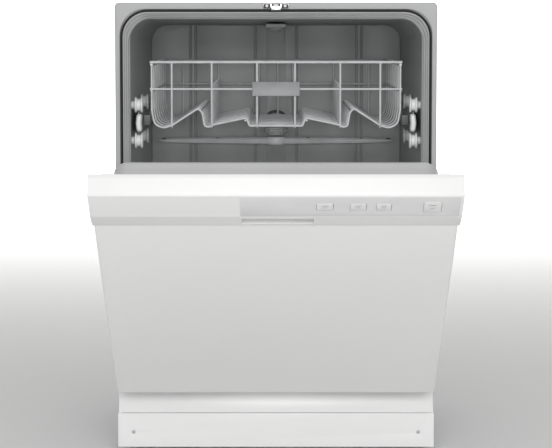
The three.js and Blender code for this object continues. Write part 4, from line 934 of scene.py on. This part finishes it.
for sign in (-1, 1):
    for y in (112, 470):
        bracket = [at(sign * (LOWER_HALF + 1), y - 16, 346),
                   at(sign * (LOWER_HALF + 1), y - 5, WHEEL_LEVEL + 6),
                   at(sign * (LOWER_HALF + 1), y, WHEEL_LEVEL - 1),
                   at(sign * (LOWER_HALF + 1), y + 5, WHEEL_LEVEL + 6),
                   at(sign * (LOWER_HALF + 1), y + 16, 346)]
        tube(bm, bent(bracket, 6), WIRE * 0.9, sides=8)
        tube(bm, [at(sign * (LOWER_HALF - 1), y, WHEEL_LEVEL),
                  at(sign * (LOWER_HALF + 14.7), y, WHEEL_LEVEL)], 3.4, sides=16)
placed("lower_rack_wires", bm, rack_coating, "rack_coating", "lower_rack_body", "lower_rack", smooth=60)

wheel_profile = [(4.1, -4.5), (8, -4.5), (9, -3.2), (13, -3.2), (15.4, -4.5), (17.6, -4.5), (18.7, -3.6),
                 (18.7, -2.2), (17.6, -1.6)]
wheel_profile += [(radius, -along) for radius, along in reversed(wheel_profile)]
for node in [n for n in frame["nodes"] if n.startswith("rack_wheel_")]:
    low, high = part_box(node)
    bm = bmesh.new()
    spool(bm, wheel_profile, (low + high) / 2, sides=40)
    placed(node + "_tyre", bm, white_plastic, "white_plastic", node + "_body", node)

# ---------- Cutlery basket ----------
# A moulded three-room basket stands in the lower rack. Its walls are open grids, and a bail handle
# arches over the middle room.
low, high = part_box("cutlery_basket")
BASKET_WALL, BASKET_TOP, BASKET_PITCH, BASKET_BAR = 2.5, 118.0, 9.5, 2.2
basket_left, basket_right = low.x / mm, high.x / mm
basket_front, basket_back = (low.y - FRONT) / mm, (high.y - FRONT) / mm
basket_foot = low.z / mm


def grid_wall(bm, start, end, foot, top, thick):
    """An upright wall of crossing bars between two (x, y) points, with a solid rim."""
    (x0, y0), (x1, y1) = start, end
    length = math.hypot(x1 - x0, y1 - y0)
    ux, uy = (x1 - x0) / length, (y1 - y0) / length

    def bar(a, b, z0, z1):
        xs = sorted((x0 + ux * a - abs(uy) * thick / 2, x0 + ux * b + abs(uy) * thick / 2))
        ys = sorted((y0 + uy * a - abs(ux) * thick / 2, y0 + uy * b + abs(ux) * thick / 2))
        block(bm, at(xs[0], ys[0], z0), at(xs[1], ys[1], z1))

    columns = max(int(length / BASKET_PITCH), 1)
    for i in range(columns + 1):
        a = (length - BASKET_BAR) * i / columns
        bar(a, a + BASKET_BAR, foot, top - 2)
    rows = int((top - foot) / BASKET_PITCH)
    for i in range(rows):
        bar(0, length, foot + (top - foot) * i / rows, foot + (top - foot) * i / rows + BASKET_BAR)
    bar(0, length, top - 9, top)


bm = bmesh.new()
inset = BASKET_WALL / 2
left, right, near, far = basket_left + inset, basket_right - inset, basket_front + inset, basket_back - inset
room = (far - near) / 3
top = basket_foot + BASKET_TOP
for start, end in (((left, near), (left, far)), ((right, near), (right, far)),
                   ((left, near), (right, near)), ((left, far), (right, far)),
                   ((left, near + room), (right, near + room)),
                   ((left, near + 2 * room), (right, near + 2 * room))):
    grid_wall(bm, start, end, basket_foot + 2, top, BASKET_WALL - 0.3)
soft_block(bm, basket_left, basket_right, basket_front, basket_back, basket_foot, basket_foot + 2.4,
           round_over=0.8)
middle = (left + right) / 2
handle_top = high.z / mm
handle = [at(middle, near + room, top - 20), at(middle, near + room, handle_top - 4),
          at(middle, near + 2 * room, handle_top - 4),
          at(middle, near + 2 * room, top - 20)]
tube(bm, bent(handle, 16), 4.0, sides=12)
placed("cutlery_grid", bm, grey_plastic, "grey_plastic", "cutlery_basket_body", "cutlery_basket")

# ---------- Lower spray arm and float ----------
# A second, wider wing turns on the sump's post. The white float dome beside it rises with the water
# and shuts it off.
bm = bmesh.new()
spray_arm(bm, 430, 205.6, 216.4, 39, 0.4)
turned(bm, [(0, 204.2), (19, 204.2), (22, 205.4), (24, 208), (24, 214), (21, 217), (14, 217.8), (0, 217.8)],
       at(*HUB, 0), sides=48)
placed("lower_arm_wing", bm, arm_plastic, "grey_plastic", "lower_spray_arm_body", "lower_spray_arm",
       smooth=42)
bm = bmesh.new()
for x, y in ((160, -5), (-160, 5), (104, 6), (-104, -6), (50, -6), (-50, 6), (204, 0), (-204, 0)):
    nozzle(bm, x, HUB[1] + y, 215.4 - abs(x) * 0.01)
placed("lower_arm_nozzles", bm, black_plastic, "dark_plastic", "lower_spray_arm_body")

low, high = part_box("float_dome")
foot = low.z / mm
bm = bmesh.new()
turned(bm, [(0, foot), (18.6, foot), (20, foot + 1.2), (20, foot + 15), (19.4, foot + 19),
            (17.6, foot + 23), (14.4, foot + 26.6),
            (9.6, foot + 29), (4.4, foot + 29.9), (0, foot + 30)],
       Vector(((low.x + high.x) / 2, (low.y + high.y) / 2, 0)), sides=40)
placed("float_cap", bm, white_plastic, "white_plastic", "float_dome_body", "float_dome", smooth=50)

# ---------- Hinge arms ----------
# Flat galvanised steel arms run up each edge of the door. Each has a riveted pivot pin at its foot
# and an ear that its balance spring hooks on.
HINGE = at(0, -20, 148)
REST_TILT = math.radians(53.5)  # how far the door leans out of upright
# This carries a point (x, minus out, up) on the door to where the open door has it.
on_door = Matrix.Translation(HINGE) @ Matrix.Rotation(REST_TILT, 4, "X")
door_mm = on_door @ Matrix.Translation((0, -FRONT, 0))  # from meshes laid out with at(x, minus out, up)
for side in ("left", "right"):
    softened("hinge_arm_" + side, zinc, width=0.4)
bm = bmesh.new()
for sign in (-1, 1):
    for up in (24, 120, 160):
        rivet = [(0, 286.9), (3.4, 286.9), (3.4, 288.4), (3.2, 291.6), (2.6, 292.6), (1.2, 293.0), (0, 293.0)]
        turned(bm, [(radius, sign * along) for radius, along in rivet], at(0, -2, up), axis="X", sides=20)
bm.transform(door_mm)
placed("hinge_rivets", bm, zinc, "galvanised_steel", "door")

# ---------- Balance springs ----------
# A close-wound spring on each side pulls from the hinge arm's ear to the lug on the rail, and
# carries the door's weight. The real spring stretches as the door comes down; this coil is built
# once, at the door's resting tilt, and rides on no body.
COIL_WIRE = 0.85
EAR = on_door @ Vector((0, 0.030, 0.060))
for side, sign in (("left", -1), ("right", 1)):
    low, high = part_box("door_spring_" + side)
    x = (low.x + high.x) / 2
    radius = (high.x - low.x) / 2 - COIL_WIRE * mm
    ear = Vector((x, EAR.y, EAR.z))
    lug = Vector((x, FRONT + 350 * mm, 200 * mm))
    along = (ear - lug).normalized()
    across = along.cross(Vector((1, 0, 0))).normalized()
    start, end = lug + along * 14 * mm, ear - along * 14 * mm
    turns = 74
    points = [lug + along * 6.6 * mm, lug + along * 8 * mm, start]
    for step in range(turns * 10 + 1):
        turn = 2 * math.pi * step / 10
        swell = min(1.0, step / 10, (turns * 10 - step) / 10)
        points.append(start + (end - start) * (0.004 + 0.992 * step / (turns * 10))
                      + (math.cos(turn) * Vector((1, 0, 0)) + math.sin(turn) * across) * radius * swell)
    points += [end, ear - along * 8 * mm, ear - along * 6.6 * mm]
    bm = bmesh.new()
    tube(bm, points, COIL_WIRE, sides=5)
    coil = shown("balance_coil_" + side, bm, zinc, smooth=70)
    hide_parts("door_spring_" + side)
    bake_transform(coil)

# ---------- Door panel ----------
# The outer panel is a shallow tray of enamelled sheet steel. Its four edges are bent back over a
# small radius and sit inside the plastic liner.
PANEL_HALF, PANEL_FOOT, PANEL_HEAD = 300.0, -24.0, 587.7
PANEL_OUT, PANEL_BACK, PANEL_BEND = 16.5, 2.5, 3.2


def panel_ring(inset, out, corner=3.0):
    return mouth_ring(PANEL_HALF - inset, PANEL_FOOT + inset, PANEL_HEAD - inset, max(corner - inset, 0.4),
                      max(corner - inset, 0.4), -out, steps=5)


bm = bmesh.new()
rings = [panel_ring(4, PANEL_OUT - 1), panel_ring(1, PANEL_OUT - 3.6), panel_ring(1, PANEL_BACK),
         panel_ring(0.2, PANEL_BACK),
         panel_ring(0, PANEL_BACK + 0.3)]
for step in range(7):
    turn = math.radians(90 * step / 6)
    rings.append(panel_ring(PANEL_BEND * (1 - math.cos(turn)), PANEL_OUT - PANEL_BEND * (1 - math.sin(turn))))
lofted(bm, rings)
bm.transform(door_mm)
placed("door_skin", bm, enamel, "white_enamel", "door", "door_panel", smooth=30)

# ---------- Inner door liner ----------
# The liner is a single grey moulding. Its raised middle closes the tub's mouth, and its flange
# squeezes the gasket. It is notched for the hinge arms and the latch.
liner_plastic = finish("liner_plastic", (0.50, 0.505, 0.50), (0.46, 0.465, 0.46), 0.4, mottle=12,
                       grain=1100, relief=0.08)
LINER_FLANGE_OUT, LINER_OUT, LINER_FACE = -9.5, -12.5, -56.0
BULGE = (272.0, 57.0, 681.0)  # half width, foot and head of the raised middle


def bulge_ring(inset, out):
    half, foot, head = BULGE
    return mouth_ring(half - inset, foot + inset, head - inset, max(33 - inset, 4), max(46 - inset, 4),
                      -out, steps=12)


def block_in(bm, x0, x1, up0, up1, out0, out1):
    """A block placed by how far up the door and how far out of its plane it reaches."""
    block(bm, at(x0, -out1, up0), at(x1, -out0, up1))


def flange_ring(inset, out):
    return mouth_ring(293 - inset, -8 + inset, 700 - inset, 13, 8, -out, steps=12)


bm = bmesh.new()
lofted(bm, [bulge_ring(15, -51), bulge_ring(7, -48), bulge_ring(4, LINER_FLANGE_OUT),
            flange_ring(0.3, LINER_FLANGE_OUT), flange_ring(0, -10),
            flange_ring(0, -12), flange_ring(0.8, LINER_OUT), bulge_ring(-2, LINER_OUT),
            bulge_ring(-0.6, -13.2), bulge_ring(0, -15),
            bulge_ring(8, -46), bulge_ring(9.4, -51), bulge_ring(12, -54.4), bulge_ring(16, LINER_FACE)])
bm.transform(door_mm)
liner = placed("liner_moulding", bm, liner_plastic, "liner_plastic", "door", "door_liner", smooth=45)
tool = bmesh.new()
for notch in ((-300, -286, -20, 102, -20, 0), (286, 300, -20, 102, -20, 0), (-20, 20, 683, 710, -20, 0),
              (-95, 95, 344, 444, -60, -44)):
    block_in(tool, *notch)
tool.transform(door_mm)
carved(liner, tool, smooth=45)

bm = bmesh.new()
for sign in (-1, 1):
    for x in (150, 205):
        left, right = sorted((sign * (x - 9), sign * (x + 9)))
        soft_block(bm, left, right, -LINER_FACE - 1, -LINER_FACE + 2.2, 110, 628, round_over=1.6)
bm.transform(door_mm)
placed("liner_ribs", bm, liner_plastic, "liner_plastic", "door")

# ---------- Bottom seal ----------
# A black rubber lip is pressed on along the foot of the liner. It wipes the tub's sill as the door
# closes.
bm = bmesh.new()
seal = [(-13.2, 36), (-13.2, 44), (-15.4, 44), (-17.6, 42.6), (-19.4, 40.4), (-19.7, 38.4), (-18.6, 37.8),
        (-16.2, 38.8), (-15, 36.4)]
lofted(bm, [[at(x, -out, up) for out, up in seal] for x in (-284, -200, -100, 0, 100, 200, 284)])
bm.transform(door_mm)
placed("sill_lip", bm, rubber, "gasket_rubber", "door", "door_bottom_seal", smooth=40)

# ---------- Console ----------
# A white ABS moulding caps the door. It has a sloping button face, a finger pocket cut into the
# chamfer below it, wells for the four keys, and a hollow back.
console_white = finish("console_white", (0.85, 0.85, 0.846), (0.835, 0.835, 0.83), 0.34, mottle=8,
                       grain=1200, relief=0.04)
overlay_film = finish("overlay_film", (0.74, 0.745, 0.745), (0.71, 0.715, 0.715), 0.24, mottle=14,
                      grain=2000, relief=0.03)
CONSOLE_HALF = 303.0
CONSOLE_LINE = [((588, -9.2), 1), ((705, -9.2), 2), ((705, -2), 2), ((697, 23.6), 3), ((694.5, 26.5), 3),
                ((631, 26.5), 3), ((588, 17.5), 1.6)]
POCKET = (-56.0, 62.0, 598.0, 620.0, 634.0)  # left, right, foot, lip and roof
KEYS = {"heat_button": (79, 27, 21), "cycle_button": (133, 26, 21), "rinse_button": (174.5, 24, 21),
        "start_button": (253, 29, 32)}
KEY_LEVEL = 661.0
KEY_GAP = 0.5  # all round each key in its well


def rounded_key(bm, x0, x1, up0, up1, back, front, corner=2.6, edge=0.5):
    """A pad with rounded corners and a small round on its front edge."""
    rings = []
    for inset, out in ((0.0, back), (0.0, front - edge), (edge * 0.3, front - edge * 0.3), (edge, front)):
        rings.append([point + Vector(((x0 + x1) / 2 * mm, 0, 0)) for point in mouth_ring(
            (x1 - x0) / 2 - inset, up0 + inset, up1 - inset, corner - inset / 2, corner - inset / 2, -out,
            steps=5)])
    lofted(bm, rings)


line = bent([Vector((0, out, up)) * mm for (up, out), bend in CONSOLE_LINE],
            [bend for point, bend in CONSOLE_LINE], steps=4, closed=True)
middle = sum(line, Vector()) / len(line)
bm = bmesh.new()
rings = []
for x, shrink in ((-CONSOLE_HALF, 1.3), (-CONSOLE_HALF + 0.4, 0.5), (-CONSOLE_HALF + 1.4, 0),
                  (CONSOLE_HALF - 1.4, 0), (CONSOLE_HALF - 0.4, 0.5), (CONSOLE_HALF, 1.3)):
    rings.append([])
    for point in line:
        inward = (middle - point).normalized() * shrink * mm
        rings[-1].append(Vector((x * mm, FRONT - point.y - inward.y, point.z + inward.z)))
lofted(bm, rings)
bm.transform(door_mm)
console = placed("console_moulding", bm, console_white, "white_plastic", "door", "console", smooth=30)
tool = bmesh.new()
block_in(tool, POCKET[0], POCKET[1], POCKET[2], POCKET[3], 6.5, 40)
tool.transform(door_mm)
carved(console, tool)
tool = bmesh.new()
block_in(tool, POCKET[0], POCKET[1], POCKET[2], POCKET[4], 6.4, 19.5)
tool.transform(door_mm)
carved(console, tool)
tool = bmesh.new()
block_in(tool, -14, 14, 681, 701, -11, 8)
for left, right in ((-300, -59), (65, 300)):
    hollow = [(-11, 591), (-11, 702), (-7.5, 702), (14.5, 696), (14.5, 591)]
    lofted(tool, [[at(x, -out, up) for out, up in hollow] for x in (left, right)])
tool.transform(door_mm)
carved(console, tool)


def well_tool():
    tool = bmesh.new()
    for centre, width, height in KEYS.values():
        across, up = width / 2 + KEY_GAP, height / 2 + KEY_GAP
        rounded_key(tool, centre - across, centre + across, KEY_LEVEL - up, KEY_LEVEL + up, 20.5, 32,
                    corner=3.0)
    tool.transform(door_mm)
    return tool


carved(console, well_tool())

bm = bmesh.new()
rounded_key(bm, -58.5, 298, 633, 691.5, 26.0, 26.75, corner=3.0, edge=0.25)
bm.transform(door_mm)
overlay = placed("overlay_sheet", bm, overlay_film, "pad_plastic", "door")
carved(overlay, well_tool())

# ---------- Keys ----------
# Four separate push pads of pale grey plastic sit in the console's wells with a thin gap round each.
# Two plain bars of dark ink are printed on every pad.
key_plastic = finish("key_plastic", (0.80, 0.805, 0.80), (0.765, 0.77, 0.765), 0.34, mottle=20, grain=1100,
                     relief=0.05)
ink = finish("printed_ink", (0.24, 0.245, 0.25), (0.19, 0.195, 0.2), 0.5, mottle=120, grain=2500, relief=0.05)
for node, (centre, width, height) in KEYS.items():
    bm = bmesh.new()
    rounded_key(bm, centre - width / 2, centre + width / 2, KEY_LEVEL - height / 2, KEY_LEVEL + height / 2,
                23.9, 26.95, edge=0.6)
    bm.transform(door_mm)
    placed(node + "_pad", bm, key_plastic, "pad_plastic", node + "_body", node)
    bm = bmesh.new()
    for reach, place, thick in ((0.2, 0.16, 1.3), (0.12, -0.1, 1.2)):
        level = KEY_LEVEL + height * place
        block_in(bm, centre - width * reach, centre + width * reach, level, level + thick, 26.8, 27.0)
    bm.transform(door_mm)
    placed(node + "_mark", bm, ink, "pad_plastic", node + "_body")

# ---------- Latch bolt ----------
# A sprung bolt in black plastic stands in a notch at the top of the liner. It slides to catch the
# strike's hook.
softened("latch_bolt", black_plastic, width=0.9, segments=3)

# ---------- Detergent dispenser, lid and rinse-aid cap ----------
# A grey moulded dispenser is set into the liner. Its flap lid springs open over the detergent cup,
# and a screw cap beside it closes the rinse-aid tank.
softened("detergent_dispenser", grey_plastic, width=1.0, segments=3)
bm = bmesh.new()
LID = (-87.0, 11.0, 354.0, 434.0)  # left, right, foot and head
rings = []
for inset, out in ((0, -60.6), (0, -62.4), (0.5, -63.2), (1.4, -63.6), (8, -63.6), (8.8, -63.1),
                   (9.6, -63.0)):
    corner = max(6 - inset * 0.5, 1.5)
    rings.append([point + Vector(((LID[0] + LID[1]) / 2 * mm, 0, 0)) for point in mouth_ring(
        (LID[1] - LID[0]) / 2 - inset, LID[2] + inset, LID[3] - inset, corner, corner, -out, steps=6)])
lofted(bm, rings)
bm.transform(door_mm)
placed("flap_lid", bm, liner_plastic, "liner_plastic", "dispenser_lid_body", "dispenser_lid")

bm = bmesh.new()
cap = [(0, 60.4), (18.2, 60.4), (19, 61.2), (19, 63.6), (18.2, 64.4), (0, 64.4)]
turned(bm, cap, at(52, 0, 394), axis="Y", sides=40)
soft_block(bm, 49.2, 54.8, 64, 69.3, 380, 408, round_over=1.4)
bm.transform(door_mm)
placed("rinse_aid_knob", bm, black_plastic, "dark_plastic", "rinse_aid_cap_body", "rinse_aid_cap")
